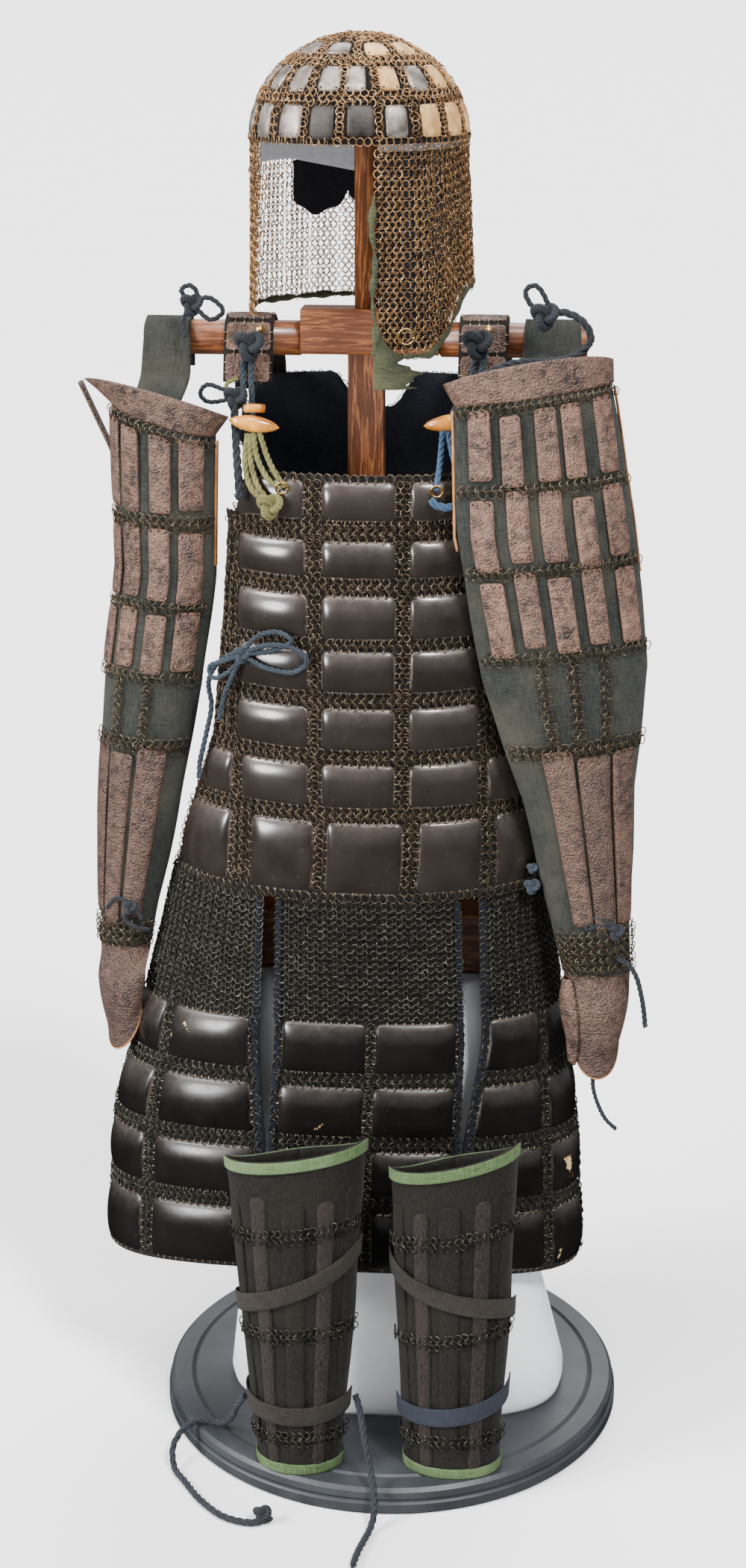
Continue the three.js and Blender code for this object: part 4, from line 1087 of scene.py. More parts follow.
PAINTS = {
    # In the lacquer paints the second colour is the worn edges' colour; four fifths of it is the dust and
    # painted reflection on what faces up.
    "lacquer": lacquer_paint(
        "lacquer", (0.0105, 0.0080, 0.0068), (0.095, 0.069, 0.057), (0.30, 0.20, 0.15), 0.76,
        Coat_Weight=0.4, Coat_Roughness=0.13,
    ),
    "skirt_lacquer": lacquer_paint(
        "skirt_lacquer", (0.0036, 0.0031, 0.0028), (0.055, 0.041, 0.033), (0.38, 0.25, 0.12), 0.72,
        Coat_Weight=0.1, Coat_Roughness=0.12,
    ),
    "rough_lacquer": rough_paint("rough_lacquer", (0.028, 0.0135, 0.009), (0.20, 0.105, 0.070)),
    "hood_plate": plain_paint(
        "hood_plate", (0.10, 0.082, 0.070), (0.38, 0.33, 0.29), 0.36, 0.55, 60.0, 0.0008,
    ),
    "hood_rust": plain_paint(
        "hood_rust", (0.34, 0.17, 0.06), (0.80, 0.50, 0.20), 0.45, 0.3, 60.0, 0.0008,
    ),
    "hood_dark": plain_paint(
        "hood_dark", (0.010, 0.008, 0.007), (0.045, 0.036, 0.030), 0.5, 0.3, 60.0, 0.0008,
    ),
    # Near-black eyelets: the cloth behind them and painted shade inside the holes.
    "hole": plain_paint("hole", (0.003, 0.002, 0.002), (0.006, 0.005, 0.004), 0.9),
    # In the iron paints the third colour is rubbed metal that also paints glints.
    "mail": iron_paint("mail", (0.035, 0.028, 0.02), (0.14, 0.10, 0.06), (0.48, 0.38, 0.26)),
    "skirt_mail": iron_paint(
        "skirt_mail", (0.012, 0.012, 0.010), (0.06, 0.056, 0.042), (0.30, 0.30, 0.25),
    ),
    "stitches": iron_paint("stitches", (0.16, 0.13, 0.10), (0.36, 0.28, 0.21), (0.8, 0.68, 0.55)),
    "hood_mail": iron_paint("hood_mail", (0.045, 0.028, 0.016), (0.60, 0.33, 0.14), (1.0, 0.82, 0.55)),
    "backing": cloth_paint("backing", (0.006, 0.005, 0.005), (0.018, 0.014, 0.011), 0.0012),
    "hemp": cloth_paint(
        "hemp", (0.008, 0.0095, 0.0088), (0.044, 0.046, 0.040), 0.0013, (0.066, 0.062, 0.045),
    ),
    "navy": cloth_paint("navy", (0.006, 0.0075, 0.011), (0.020, 0.023, 0.032), 0.0011),
    "lining": cloth_paint("lining", (0.42, 0.43, 0.46), (0.66, 0.67, 0.70), 0.0012, thread_gap_shade=0.12),
    "slit": cloth_paint("slit", (0.0025, 0.0032, 0.0055), (0.009, 0.0115, 0.019), 0.0011),
    "rag": cloth_paint("rag", (0.004, 0.004, 0.006), (0.02, 0.02, 0.024), 0.0012),
    "binding": cloth_paint(
        "binding", (0.016, 0.02, 0.012), (0.085, 0.092, 0.05), 0.0013, (0.11, 0.10, 0.05),
    ),
    "green": cloth_paint(
        "green", (0.025, 0.045, 0.018), (0.095, 0.15, 0.06), 0.0016, (0.13, 0.18, 0.09),
    ),
    "crepe": crepe_paint("crepe", (0.0032, 0.0027, 0.0021), (0.0105, 0.0088, 0.0065)),
    "splint": crepe_paint("splint", (0.0055, 0.0042, 0.0036), (0.022, 0.0165, 0.0145)),
    "tape": cloth_paint("tape", (0.008, 0.0068, 0.0056), (0.030, 0.025, 0.020), 0.0015),
    "navy_tape": cloth_paint("navy_tape", (0.007, 0.009, 0.013), (0.024, 0.029, 0.040), 0.0015),
    "leather": plain_paint("leather", (0.22, 0.085, 0.025), (0.42, 0.19, 0.06), 0.55, scale=60.0),
    # In the cord paints the dark colour is painted shade in the grooves and the light colour a painted
    # highlight on the crests, as well as paler fibres.
    "blue_cord": cord_paint("blue_cord", (0.010, 0.024, 0.055), (0.045, 0.09, 0.16)),
    "cord": cord_paint("cord", (0.007, 0.010, 0.014), (0.032, 0.046, 0.06)),
    "green_cord": cord_paint("green_cord", (0.035, 0.036, 0.011), (0.19, 0.175, 0.062)),
    "dark_cord": cord_paint("dark_cord", (0.005, 0.006, 0.008), (0.021, 0.025, 0.031)),
    "gilt": plain_paint("gilt", (0.42, 0.24, 0.07), (0.80, 0.52, 0.20), 0.32, 0.95, 90.0),
    "horn": plain_paint(
        "horn", (0.28, 0.085, 0.008), (0.72, 0.32, 0.045), 0.22, 0.0, 34.0, Coat_Weight=0.5,
    ),
    "bar_wood": wood_paint("bar_wood", (0.14, 0.042, 0.014), (0.46, 0.165, 0.048), "X"),
    "pole_wood": wood_paint("pole_wood", (0.10, 0.030, 0.010), (0.44, 0.165, 0.050), "Z"),
    "foot": plain_paint(
        "foot", (0.016, 0.018, 0.021), (0.032, 0.035, 0.040), 0.42, 0.0, 14.0, Specular_IOR_Level=0.3,
    ),
    "plinth": plain_paint("plinth", (0.52, 0.53, 0.55), (0.66, 0.67, 0.69), 0.7, 0.0, 6.0),
}


# Free cords: thickness, points, far end, lay, paint, and the route, as in the part's source

CORDS = {
    "cord_floor_left": (8, 160, "bare", "loose", "dark_cord", [
        (-146.8, -206, 105), (-157, -198, 87), (-168, -178, 57), (-184, -158, 37), (-203, -152, 35),
        (-222, -166, 34), (-233, -184, 21), (-229, -204, 7), (-212, -230, 5.5), (-190, -262, 5.5),
        (-160, -290, 5.5), (-128, -298, 5.5), (-108, -288, 5.5),
    ]),
    "cord_floor_middle": (8, 120, "bare", "loose", "dark_cord", [
        (-23.5, -208, 113), (-18, -222, 105), (-12, -238, 83), (-4, -254, 55), (2, -270, 36),
        (4, -284, 19), (1, -298, 7), (-4, -318, 5.5), (-9, -340, 5.5), (-12, -364, 5.5),
    ]),
    "cord_side_left": (6, 80, "bare", "hanging", "cord", [
        (-150, -102, 930), (-166, -91, 922), (-182, -79, 908), (-192, -70, 886), (-189, -72, 862),
        (-195, -74, 830), (-202, -76, 800), (-203, -78, 782),
    ]),
    "cord_wrist_right": (6, 60, "bare", "hanging", "dark_cord", [
        (249.3, -74.1, 588), (262, -73, 580), (271, -70, 565), (277, -68, 544), (281, -66, 522),
        (283, -66, 504),
    ]),
    "cord_hand_right": (5, 50, "knot", "hanging", "dark_cord", [
        (228, -69.5, 452), (228, -69, 432), (234, -68, 410), (243, -68, 392), (255, -68, 380),
    ]),
}


def build_cords():
    for name, (diameter, count, end, lay, paint, points) in CORDS.items():
        path = smooth_path(points, count)
        build = Build()
        twist(build, path, diameter / 2)
        piece = build.make(name + "_braid", paint, "braided_cord", [name])
        path_length(path) / METRE


# Stand

AXLE = 0.5
FOOT_STEPS, POST_STEPS, BAR_EDGE = 160, 40, 2
BARS = [(-261, -96.3), (47.3, 200)]
# How far in from the foot's edge, and how high
FOOT_EDGE = [
    (3, 0), (0, 3), (0, 13), (1.5, 15), (4, 16), (2, 19), (3, 26), (7, FOOT_TOP), (27, FOOT_TOP),
    (30, FOOT_TOP - 2), (33, FOOT_TOP),
]
POST_X, POST_FOOT, POST_RADIUS = -29, 1273.3, 12.5
# Radius, and height over the hood's rim
POST_HEAD = [(POST_RADIUS, 20), (34, 32), (52, 41), (58, 48), (50, 64), (20, 81), (AXLE, 92.4)]
PLINTH = table(
    "z x y half depth",
    (30.3, 8, -8, 192, 110),
    (44, 8, -8, 195, 114),
    (150, 0, -6, 176, 104),
    (226, -14, -4, 160, 96),
    (504.7, -20, -2, 140, 86),
    (544.7, -20, -2, 128, 76),
)
PLINTH_HEIGHTS = np.concatenate([[30.3, 34], np.linspace(44, 504.7, 14), np.linspace(512, 544.7, 5)])
PLINTH_STEPS, PLINTH_ROUND = 96, 0.7
CARRIED_OVER = {"hip_board": "bar_wood", "pole_lower": "pole_wood", "shoulder_block": "bar_wood"}


def build_foot():
    foot = Build()
    edge = [(FOOT_RADIUS - inset, z) for inset, z in FOOT_EDGE]
    lathe(foot, [(AXLE, 0), *edge, (AXLE, FOOT_TOP)], (0, 0, 0), "Z", FOOT_STEPS)
    foot.make("foot", "foot", "foot_paint", ["base_disc"], smooth=False)


def build_plinth():
    angle = turns(PLINTH_STEPS)
    z = PLINTH_HEIGHTS[:, None]
    row = read(PLINTH, z)
    bend = lambda value: np.sign(value) * np.abs(value) ** PLINTH_ROUND
    x = row["x"] + row["half"] * bend(np.sin(angle))
    y = row["y"] - row["depth"] * bend(np.cos(angle))
    body = Build()
    body.add(np.stack([x, y, z + 0 * x], -1), ring_faces(len(z), PLINTH_STEPS))
    body.make("plinth_body", "plinth", "plinth", ["plinth"])


def build_bars_and_post():
    bars = Build()
    inner = BAR_RADIUS - BAR_EDGE
    for x0, x1 in BARS:
        rounded = [(inner, x0), (BAR_RADIUS, x0 + BAR_EDGE), (BAR_RADIUS, x1 - BAR_EDGE), (inner, x1)]
        lathe(bars, [(AXLE, x0), *rounded, (AXLE, x1)], (0, 0, BAR_Z), "X", POST_STEPS)
    bars.make("shoulder_bars", "bar_wood", "wood", ["shoulder_bar_left", "shoulder_bar_right"])
    post = Build()
    head = [(radius, HOOD_RIM + up) for radius, up in POST_HEAD]
    lathe(post, [(AXLE, POST_FOOT), (POST_RADIUS, POST_FOOT), *head], (POST_X, 0, 0), "Z", POST_STEPS)
    post.make("turned_post", "pole_wood", "wood", ["head_post"])


def build_stand():
    build_foot()
    build_plinth()
    build_bars_and_post()
    for name, paint in CARRIED_OVER.items():
        data = bpy.data.objects[name].data
        data.materials.clear()
        data.materials.append(PAINTS[paint])


# Cuirass

NARROWEST_MAIL = 4
CHIPPED_ROW, CHIPPED, MARKED = len(TORSO_ROWS) - 1, 1.45, 1.35
PLATE_HEIGHT, LOW_PLATE_HEIGHT = 6.2, 7.0
CLOTH_OUTER, CLOTH_INNER = 0.2, -2
STRAP_THICKNESS, STRAP_PLATE = 2.6, (0.05, 0.95)


def gaps(bands, start, end):
    """The spaces between bands, and before and after them."""
    edges = [start, *[value for band in bands for value in band], end]
    return [(a, b) for a, b in zip(edges[::2], edges[1::2]) if b > a]


def mail_between(build, place, across, rows, low, top):
    """Mail in the spaces between rows of plates."""
    for gap in gaps(rows, low, top):
        if gap[1] - gap[0] > NARROWEST_MAIL:
            mail(build, place, across, gap)


def build_cuirass():
    for back in (False, True):
        side = "back" if back else "front"
        place = torso(back)
        top = BACK_TOP if back else FRONT_TOP
        rows = TORSO_ROWS + ([BACK_ROW] if back else [])
        one_shell(
            "cuirass_cloth_" + side, "backing", "lacquer_and_mail", ["cuirass_" + side],
            place, (-FLAT_HALF, FLAT_HALF, 49), (WAIST, top, 40), CLOTH_OUTER, CLOTH_INNER,
        )
        plates, links, sewing = Build(), Build(), Build()
        for k, (row, columns) in enumerate(zip(rows, TORSO_COLUMNS)):
            height = PLATE_HEIGHT if k else LOW_PLATE_HEIGHT
            tone = CHIPPED if k == CHIPPED_ROW and not back else None
            for column in columns:
                plate(plates, place, column, row, height, 8, stitch=sewing, tone=tone)
            for gap in gaps(columns, -FLAT_HALF, FLAT_HALF):
                mail(links, place, gap, row)
        mail_between(links, place, (-FLAT_HALF, FLAT_HALF), rows, WAIST, top)
        plates.make("cuirass_plates_" + side, "lacquer", "lacquer_and_mail")
        links.make("cuirass_mail_" + side, "mail", "mail")
        sewing.make("cuirass_stitches_" + side, "stitches", "mail")
    lining = Build()
    shell(lining, torso(True), (-FLAT_HALF, FLAT_HALF, 61), (WAIST, BACK_TOP, 50), -2.6, -4.1)
    piece = lining.make("back_lining_cloth", "navy", "navy_cloth", ["back_lining"])
    piece_sheet(lining)


def piece_sheet(build):
    """Reads the size of a sheet's own flat map, and its points; nothing is done with them."""
    width, length = np.ptp(np.vstack(build.uv) / METRE, axis=0)
    points = np.vstack(build.points) / METRE


def build_straps():
    for side in STRAPS:
        place = strap(side)
        one_shell(
            "strap_cloth_" + side, "backing", "rough_lacquer", ["strap_" + side],
            place, (0, 1, 9), (0, 1, 70), STRAP_THICKNESS, 0,
        )
        on_top = lambda u, v, out, place=place: place(u, v, out + STRAP_THICKNESS)
        plates, sewing = Build(), Build()
        for band in STRAP_BANDS:
            plate(plates, on_top, STRAP_PLATE, band, 1.6, 4, 1.0, stitch=sewing)
        plates.make("strap_plates_" + side, "rough_lacquer", "rough_lacquer")
        sewing.make("strap_stitches_" + side, "stitches", "mail")


# Skirt

MARKED_PLATES = [
    ("left", SIDE_COLUMNS[0], SKIRT_ROWS[3]),
    ("left", SIDE_COLUMNS[0], SKIRT_ROWS[0]),
    ("middle", SKIRT_PANELS["middle"][0], SKIRT_ROWS[2]),
    ("right", SIDE_COLUMNS[1], SKIRT_ROWS[1]),
]
BAND_PITCH = (7.8, 5.4)
SLIT_TAPE = 8


def build_skirt():
    for back in (False, True):
        side = "back" if back else "front"
        links, band, sewing, plates = Build(), Build(), Build(), Build()
        for panel, columns in SKIRT_PANELS.items():
            place = skirt(panel, back)
            one_shell(
                f"skirt_cloth_{side}_{panel}", "backing", "lacquer_and_mail", [f"skirt_{side}_{panel}"],
                place, (0, 1, 25), (HEM, WAIST - 0.3, 30), CLOTH_OUTER, CLOTH_INNER,
            )
            for row in SKIRT_ROWS:
                for column in columns:
                    tone = MARKED if (panel, column, row) in MARKED_PLATES else None
                    plate(plates, place, column, row, 7.2, 9, power=(4, 2.0), stitch=sewing, tone=tone)
                for gap in gaps(columns, 0, 1):
                    mail(links, place, gap, row)
            top = SKIRT_ROWS[-1][1]
            mail_between(links, place, (0, 1), SKIRT_ROWS, HEM, top)
            mail(band, place, (0, 1), (top + 1, WAIST - 1), BAND_PITCH, turned=True)
        plates.make("skirt_plates_" + side, "skirt_lacquer", "lacquer_and_mail")
        links.make("skirt_mail_" + side, "skirt_mail", "mail")
        band.make("skirt_mail_band_" + side, "skirt_mail", "mail")
        sewing.make("skirt_stitches_" + side, "stitches", "mail")
        build_slit_bindings(back)


def build_slit_bindings(back):
    """A tape on each side of both slits, from near the hem to near the waist."""
    side = "back" if back else "front"
    rows = (HEM + 2, WAIST - 5, 40)
    height = np.mean(rows[:2])
    for slit, share in (("left", 0.0), ("right", 1.0)):
        build = Build()
        for panel in (slit, "middle"):
            place = skirt(panel, back)
            wide = np.linalg.norm(place(1.0, height, 0) - place(0.0, height, 0)) * 1.1
            start = share if panel == "middle" else 0.0
            step = -SLIT_TAPE / wide if start else SLIT_TAPE / wide
            shell(build, place, (start, start + step, 4), rows, 2.4, 0.8)
        build.make(f"slit_tape_{side}_{slit}", "slit", "navy_cloth", [f"slit_binding_{side}_{slit}"])


# Hood

HOOD_PITCH, CROWN_LIFT, HOOD_WIRE = (7.4, 4.9), 1.6, 0.62
CROWN_BANDS, CROWN_COUNTS = [(3, 21), (29, 45), (54, 66)], [18, 18, 10]
CROWN_START, CROWN_MAIL_TOP = 4.5, 86
PLATE_SHARE, SPACE_SHARE = 0.32, 0.36
RUSTY_SIDE, RUSTY_SHARE = (35, 150), 0.75
LINING_EDGE = 1412


def build_crown():
    """Rows of plates with mail between. Two over the face are dark, and many on one side rusty."""
    one_shell(
        "crown_cloth", "backing", "hood_plates", ["hood_crown"],
        crown, (0, 360, 73), (0, 89.5, 30), 0, -3,
    )
    plates, links, rusty, dark, eyes = Build(), Build(), Build(), Build(), Build()
    for k, (band, count) in enumerate(zip(CROWN_BANDS, CROWN_COUNTS)):
        step = 360 / count
        centres = [CROWN_START + step * n for n in range(count)]
        for n, centre in enumerate(centres):
            middle = centre + random.normal(0, 1.0)
            reach = step * PLATE_SHARE + random.uniform(-0.8, 0.8)
            low = band[0] + random.uniform(-1, 1)
            on_side = RUSTY_SIDE[0] < middle < RUSTY_SIDE[1]
            worn = on_side and random.random() < RUSTY_SHARE and (k, n) != (0, 2)
            build = rusty if worn else dark if k == 0 and n < 2 else plates
            column, row = (middle - reach, middle + reach), (low, band[1])
            maps = plate(build, crown, column, row, 1.4, 5, 2.4 if k == 0 else 2.0, (6, 4), (9, 9))
            holes(eyes, crown, column, row, maps, 3.2)
        for centre in centres:
            space = (centre + step * SPACE_SHARE, centre + step * (1 - SPACE_SHARE))
            mail(links, crown, space, band, HOOD_PITCH, CROWN_LIFT, HOOD_WIRE)
    for band in gaps(CROWN_BANDS, 0, CROWN_MAIL_TOP):
        mail(links, crown, (0, 360), band, HOOD_PITCH, CROWN_LIFT, HOOD_WIRE)
    plates.make("crown_plates", "hood_plate", "hood_plates")
    rusty.make("crown_plates_worn", "hood_rust", "hood_plates")
    dark.make("crown_plates_dark", "hood_dark", "hood_plates")
    eyes.make("crown_eyelets", "hole", "hood_plates")
    links.make("crown_mail", "hood_mail", "mail")


def ragged(degrees, share, out):
    lobes = np.abs(np.sin(np.radians(degrees * 5.1))) ** 0.4
    hem = 1390 - 30 * lobes + 2 * np.sin(np.radians(degrees * 23))
    return curtain(degrees, mix(hem, LINING_EDGE + 4, share), out)


def lining_edge(degrees, share, out):
    hem = LINING_EDGE - 10 + np.clip(0.36 * (degrees - 205), -14, 16)
    return curtain(degrees, mix(hem, HOOD_RIM - 0.4, share), out)


def build_hood_lining():
    one_shell(
        "crown_lining", "lining", "grey_lining", ["hood_lining"],
        crown, (0, 360, 73), (0, 89.5, 24), -3.9, -6,
    )
    rag = Build()
    shell(rag, ragged, (132, 246, 100), (0, 1, 10), -4.6, -6.0)
    piece = rag.make("rag_cloth", "rag", "navy_cloth", ["hood_rag"])
    piece_sheet(rag)
    one_shell(
        "lining_edge", "lining", "grey_lining", [],
        lining_edge, (100, 290, 60), (0, 1, 8), -6.6, -8.4,
    )
    one_shell(
        "curtain_backing", "rag", "mail", [],
        curtain_side(True), (34, 150, 60), (0.04, 0.97, 20), -2.2, -3.0,
    )


def torn(across, z, out):
    """The binding of the face opening, whose lower end is torn."""
    frayed = 3.5 * np.sin(z * 0.31) + 2 * np.sin(z * 0.83)
    width = mix(21, 4, smooth_step(z, 1216, 1262)) + frayed * across * (1 - smooth_step(z, 1225, 1250))
    lift = 5 * np.sin(across * 3) * (1 - smooth_step(z, 1236, 1250))
    return curtain(CURTAIN_GAP_RIGHT - 1.5 + width * across, z, 1.3 + lift + out)


def build_curtain():
    for side, start, end in (("right", CURTAIN_GAP_RIGHT, 179.8), ("left", CURTAIN_GAP_LEFT, -179.8)):
        build = Build()
        surface = curtain_side(side == "right")
        edges = np.linspace(start, end, 9)
        for span in zip(edges[:-1], edges[1:]):
            mail(build, surface, span, (0, 1), HOOD_PITCH, 0, HOOD_WIRE)
        build.make("curtain_mail_" + side, "hood_mail", "mail", ["curtain_" + side])

    tape = Build()
    shell(tape, torn, (0, 1, 14), (1206, 1264, 40), 1.6, 0)
    roll = lambda spots: 2.6 + 0.9 * np.sin(spots / 9) + 0.7 * np.sin(spots / 3.7)
    z = np.linspace(1240, 1394, 90)
    tube(tape, curtain(CURTAIN_GAP_RIGHT - 1.0 + 0.8 * np.sin(z / 11), z, 1.2), roll(z), 8)
    for right, degrees in ((True, np.linspace(36, 176, 120)), (False, np.linspace(-60, -176, 90))):
        path = curtain_side(right)(degrees, 0 * degrees, 0 * degrees)
        tube(tape, path + [0, 0, 1.5], roll(degrees * 2) + 0.4, 8)
    tape.make("curtain_tape", "binding", "hemp_cloth", ["curtain_binding"])


# Sleeves

SLEEVE_PITCH, SLEEVE_MAIL, LADDER_HALF, LADDER_END = (8.4, 5.2), (-78, 78), 5, 12
PLATE_ROWS = 3
PLATES_OUT = 0.8


def build_sleeve(side):
    place = sleeve(side)
    bottom, top = SLEEVES[side]["table"]["z"][[0, -1]]

    def folded(degrees, z, out):
        fold = 0.9 * np.sin(np.radians(degrees * 3) + z / 47) + 0.6 * np.sin(z / 23 + degrees / 31)
        return place(degrees, z, out + fold)

    def on_cloth(degrees, z, out):
        return place(degrees, z, out + PLATES_OUT)

    one_shell(
        "sleeve_cloth_" + side, "hemp", "hemp_cloth", ["sleeve_" + side],
        folded, (-180, 180, 61), (bottom, top, 70), 0, -1.6,
    )
    build_sleeve_plates(side, on_cloth, bottom, top)
    one_shell(
        "collar_plate_" + side, "rough_lacquer", "rough_lacquer", ["collar_" + side],
        collar(side), (-82, 82, 50), (0, 1, 12), 1, -2,
    )
    strip = Build()
    shell(strip, flap(side), (0, 1, 13), (0, 1, 60), 2, 0)
    piece = strip.make("flap_cloth_" + side, "hemp", "hemp_cloth", ["flap_" + side])
    piece_sheet(strip)
    build_hand(side, on_cloth, top)


def build_sleeve_plates(side, on_cloth, bottom, top):
    """Three rows of plates, a row of splints, and the mail between and beside them."""
    arm = SLEEVES[side]
    plates, links, eyes = Build(), Build(), Build()
    columns = [tuple(np.degrees(np.arcsin(column))) for column in arm["columns"]]
    for k, row in enumerate(arm["rows"]):
        small = k < PLATE_ROWS
        for column in columns if small else arm["splints"]:
            shift, drop = random.normal(0, 1.5), random.normal(0, 3)
            across = (column[0] + shift, column[1] + shift) if small else column
            down = (row[0] + drop, row[1] + drop)
            tone = random.uniform(0.05, 0.5) if small else random.uniform(0.6, 1)
            maps = plate(plates, on_cloth, across, down, 2.0, 4, 2.0, (8, 6), (9, 17), tone=tone)
            holes(eyes, on_cloth, across, down, maps, 3.3, 3.6)
    first, second, third, splints = arm["rows"]
    ladders = [
        (first[1] + 1, top - 1),
        (second[1] + 1, first[0] - 1),
        (third[1] + 1, second[0] - 1),
        (third[0] - LADDER_END, third[0] - 1),
        (splints[1] + 1, splints[1] + LADDER_END + 2),
        (bottom + 2, splints[0] - 1),
    ]
    for ladder in ladders:
        mail(links, on_cloth, SLEEVE_MAIL, ladder, SLEEVE_PITCH)
    for column in columns[1:-1]:
        middle = np.mean(column)
        span = (middle - LADDER_HALF, middle + LADDER_HALF)
        mail(links, on_cloth, span, (splints[1] + LADDER_END + 2, third[0] - LADDER_END), SLEEVE_PITCH)
    plates.make("sleeve_plates_" + side, "rough_lacquer", "rough_lacquer")
    links.make("sleeve_mail_" + side, "mail", "mail")
    eyes.make("sleeve_eyelets_" + side, "hole", "rough_lacquer")


def build_hand(side, on_cloth, top):
    """The hand guard, the thumb piece, and the leather along the sleeve's edges."""
    edging = Build()
    inner = SLEEVES[side]["inner_angle"]
    for angle, low in ((inner, top - 150), (-inner, top - 190)):
        shell(edging, on_cloth, (angle - 5, angle + 5, 4), (low, top - 4, 30), 1.6, 0)
    tube(edging, hand(side)(np.linspace(-84, 84, 50), 1.0, -0.6), 1.5, 6)
    one_shell(
        "hand_plate_" + side, "rough_lacquer", "rough_lacquer", ["hand_guard_" + side],
        hand(side), (-85, 85, 40), (0, 1, 30), 0.5, -2, 0.95,
    )
    if side == "right":
        one_shell(
            "thumb_plate", "rough_lacquer", "rough_lacquer", ["thumb_piece"],
            thumb, (-1, 1, 14), (0, 1, 24), 2.5, 0, 0.6,
        )
        tube(edging, thumb(-1.0, np.linspace(0.02, 0.8, 30), 1.2), 2.0, 6)
    edging.make("leather_edging_" + side, "leather", "hemp_cloth")


# Shin guards

GUARD_MAIL, GUARD_MAIL_HEIGHT = [68, 196, 316], 15
GUARD_COLUMNS, GUARD_START, GUARD_STEP = 5, -63, 31
SPLINT_TOP, SPLINT_CUT = 372, 14


def build_guard(side):
    place = guard(side)
    top = GUARDS[side]["table"]["z"][-1]

    def folded(degrees, z, out):
        fade = smooth_step(np.abs(z - 220), 190, 120)
        return place(degrees, z, out + 0.8 * np.sin(np.radians(degrees * 5) + z / 31) * fade)

    one_shell(
        "guard_cloth_" + side, "crepe", "crepe_cloth", ["guard_" + side],
        folded, (-180, 180, 61), (GUARD_FOOT, top, 50), 0, -2,
    )
    splints, pockets, links = Build(), Build(), Build()
    for k in range(GUARD_COLUMNS):
        build, reach, low, height = (splints, 8, 40, 2.4) if k % 2 else (pockets, 10, 56, 1.6)
        middle = GUARD_START + GUARD_STEP * k + random.normal(0, 1.5)
        column, row = (middle - reach, middle + reach), (low, SPLINT_TOP - SPLINT_CUT * random.random())
        plate(build, place, column, row, height, 8, 1.2, (4, 14), (9, 33))
    for z in GUARD_MAIL:
        mail(links, place, (-84, 84), (z, z + GUARD_MAIL_HEIGHT), (7.6, 4.8), 3.0)
    splints.make("guard_splints_" + side, "splint", "crepe_cloth")
    pockets.make("guard_pockets_" + side, "crepe", "crepe_cloth")
    links.make("guard_mail_" + side, "skirt_mail", "mail")
    for name, low, high in (("top", top - 13, top), ("foot", GUARD_FOOT, GUARD_FOOT + 12)):
        one_shell(
            f"guard_braid_{side}_{name}", "green", "green_binding", [f"guard_{side}_{name}_binding"],
            place, (-180, 180, 97), (low, high, 7), 2.4, 0.6,
        )


def build_tapes():
    for name, (side, start, end) in TAPES.items():
        paint = "navy_tape" if name == "tape_right_lower" else "tape"
        strip = tape(side, start, end)
        one_shell(name + "_cloth", paint, "cloth_tape", [name], strip, (0, 1, 6), (0, 1, 60), 1.5, 0)


# Shoulder cords and toggles

SHOULDER_CORDS = {
    "cord_shoulder_left": [
        (-147, -35.5, 1236), (-149, -41, 1216), (-148, -48, 1192), (-146, -53, 1166), (-143, -60, 1145),
        (-138, -88, 1122), (-130, -100, 1106), (-120, -107.5, 1088),
    ],
    "cord_shoulder_right": [
        (92, -35.5, 1236), (88, -41, 1216), (78, -48, 1192), (66, -53, 1168), (58, -61, 1148),
        (54, -104, 1124), (53, -110.5, 1108), (56, -113.5, 1090),
    ],
}


TOGGLE_HALF = [(0.3, -27, 0), (4, -22, 0), (8, -8, 0), (8.5, 4, 0), (4.5, 20, 0), (0.3, 26, 0)]
TOGGLE_Y = -67.2


def build_shoulder_cords():
    for name, points in SHOULDER_CORDS.items():
        build = Build()
        for shift in (-4.2, 4.2):
            twist(build, np.array(points[:5]) + [shift, -1, 0], 3.4)
        build.make(name + "_braid", "cord", "braided_cord", [name])
    for side, x, z, tilt in (("left", -140, 1162, -8), ("right", 62, 1166, 8)):
        build = Build()
        lathe(build, smooth_path(TOGGLE_HALF, 30)[:, :2], (0, 0, 0), "X", 32)
        turn = np.array(Matrix.Rotation(math.radians(-tilt), 3, "Y"))
        flip = -1 if side == "left" else 1
        build.points[0] = build.points[0] @ turn.T * flip + np.array((x, TOGGLE_Y, z))
        build.make("toggle_horn_" + side, "horn", "horn", ["toggle_" + side])


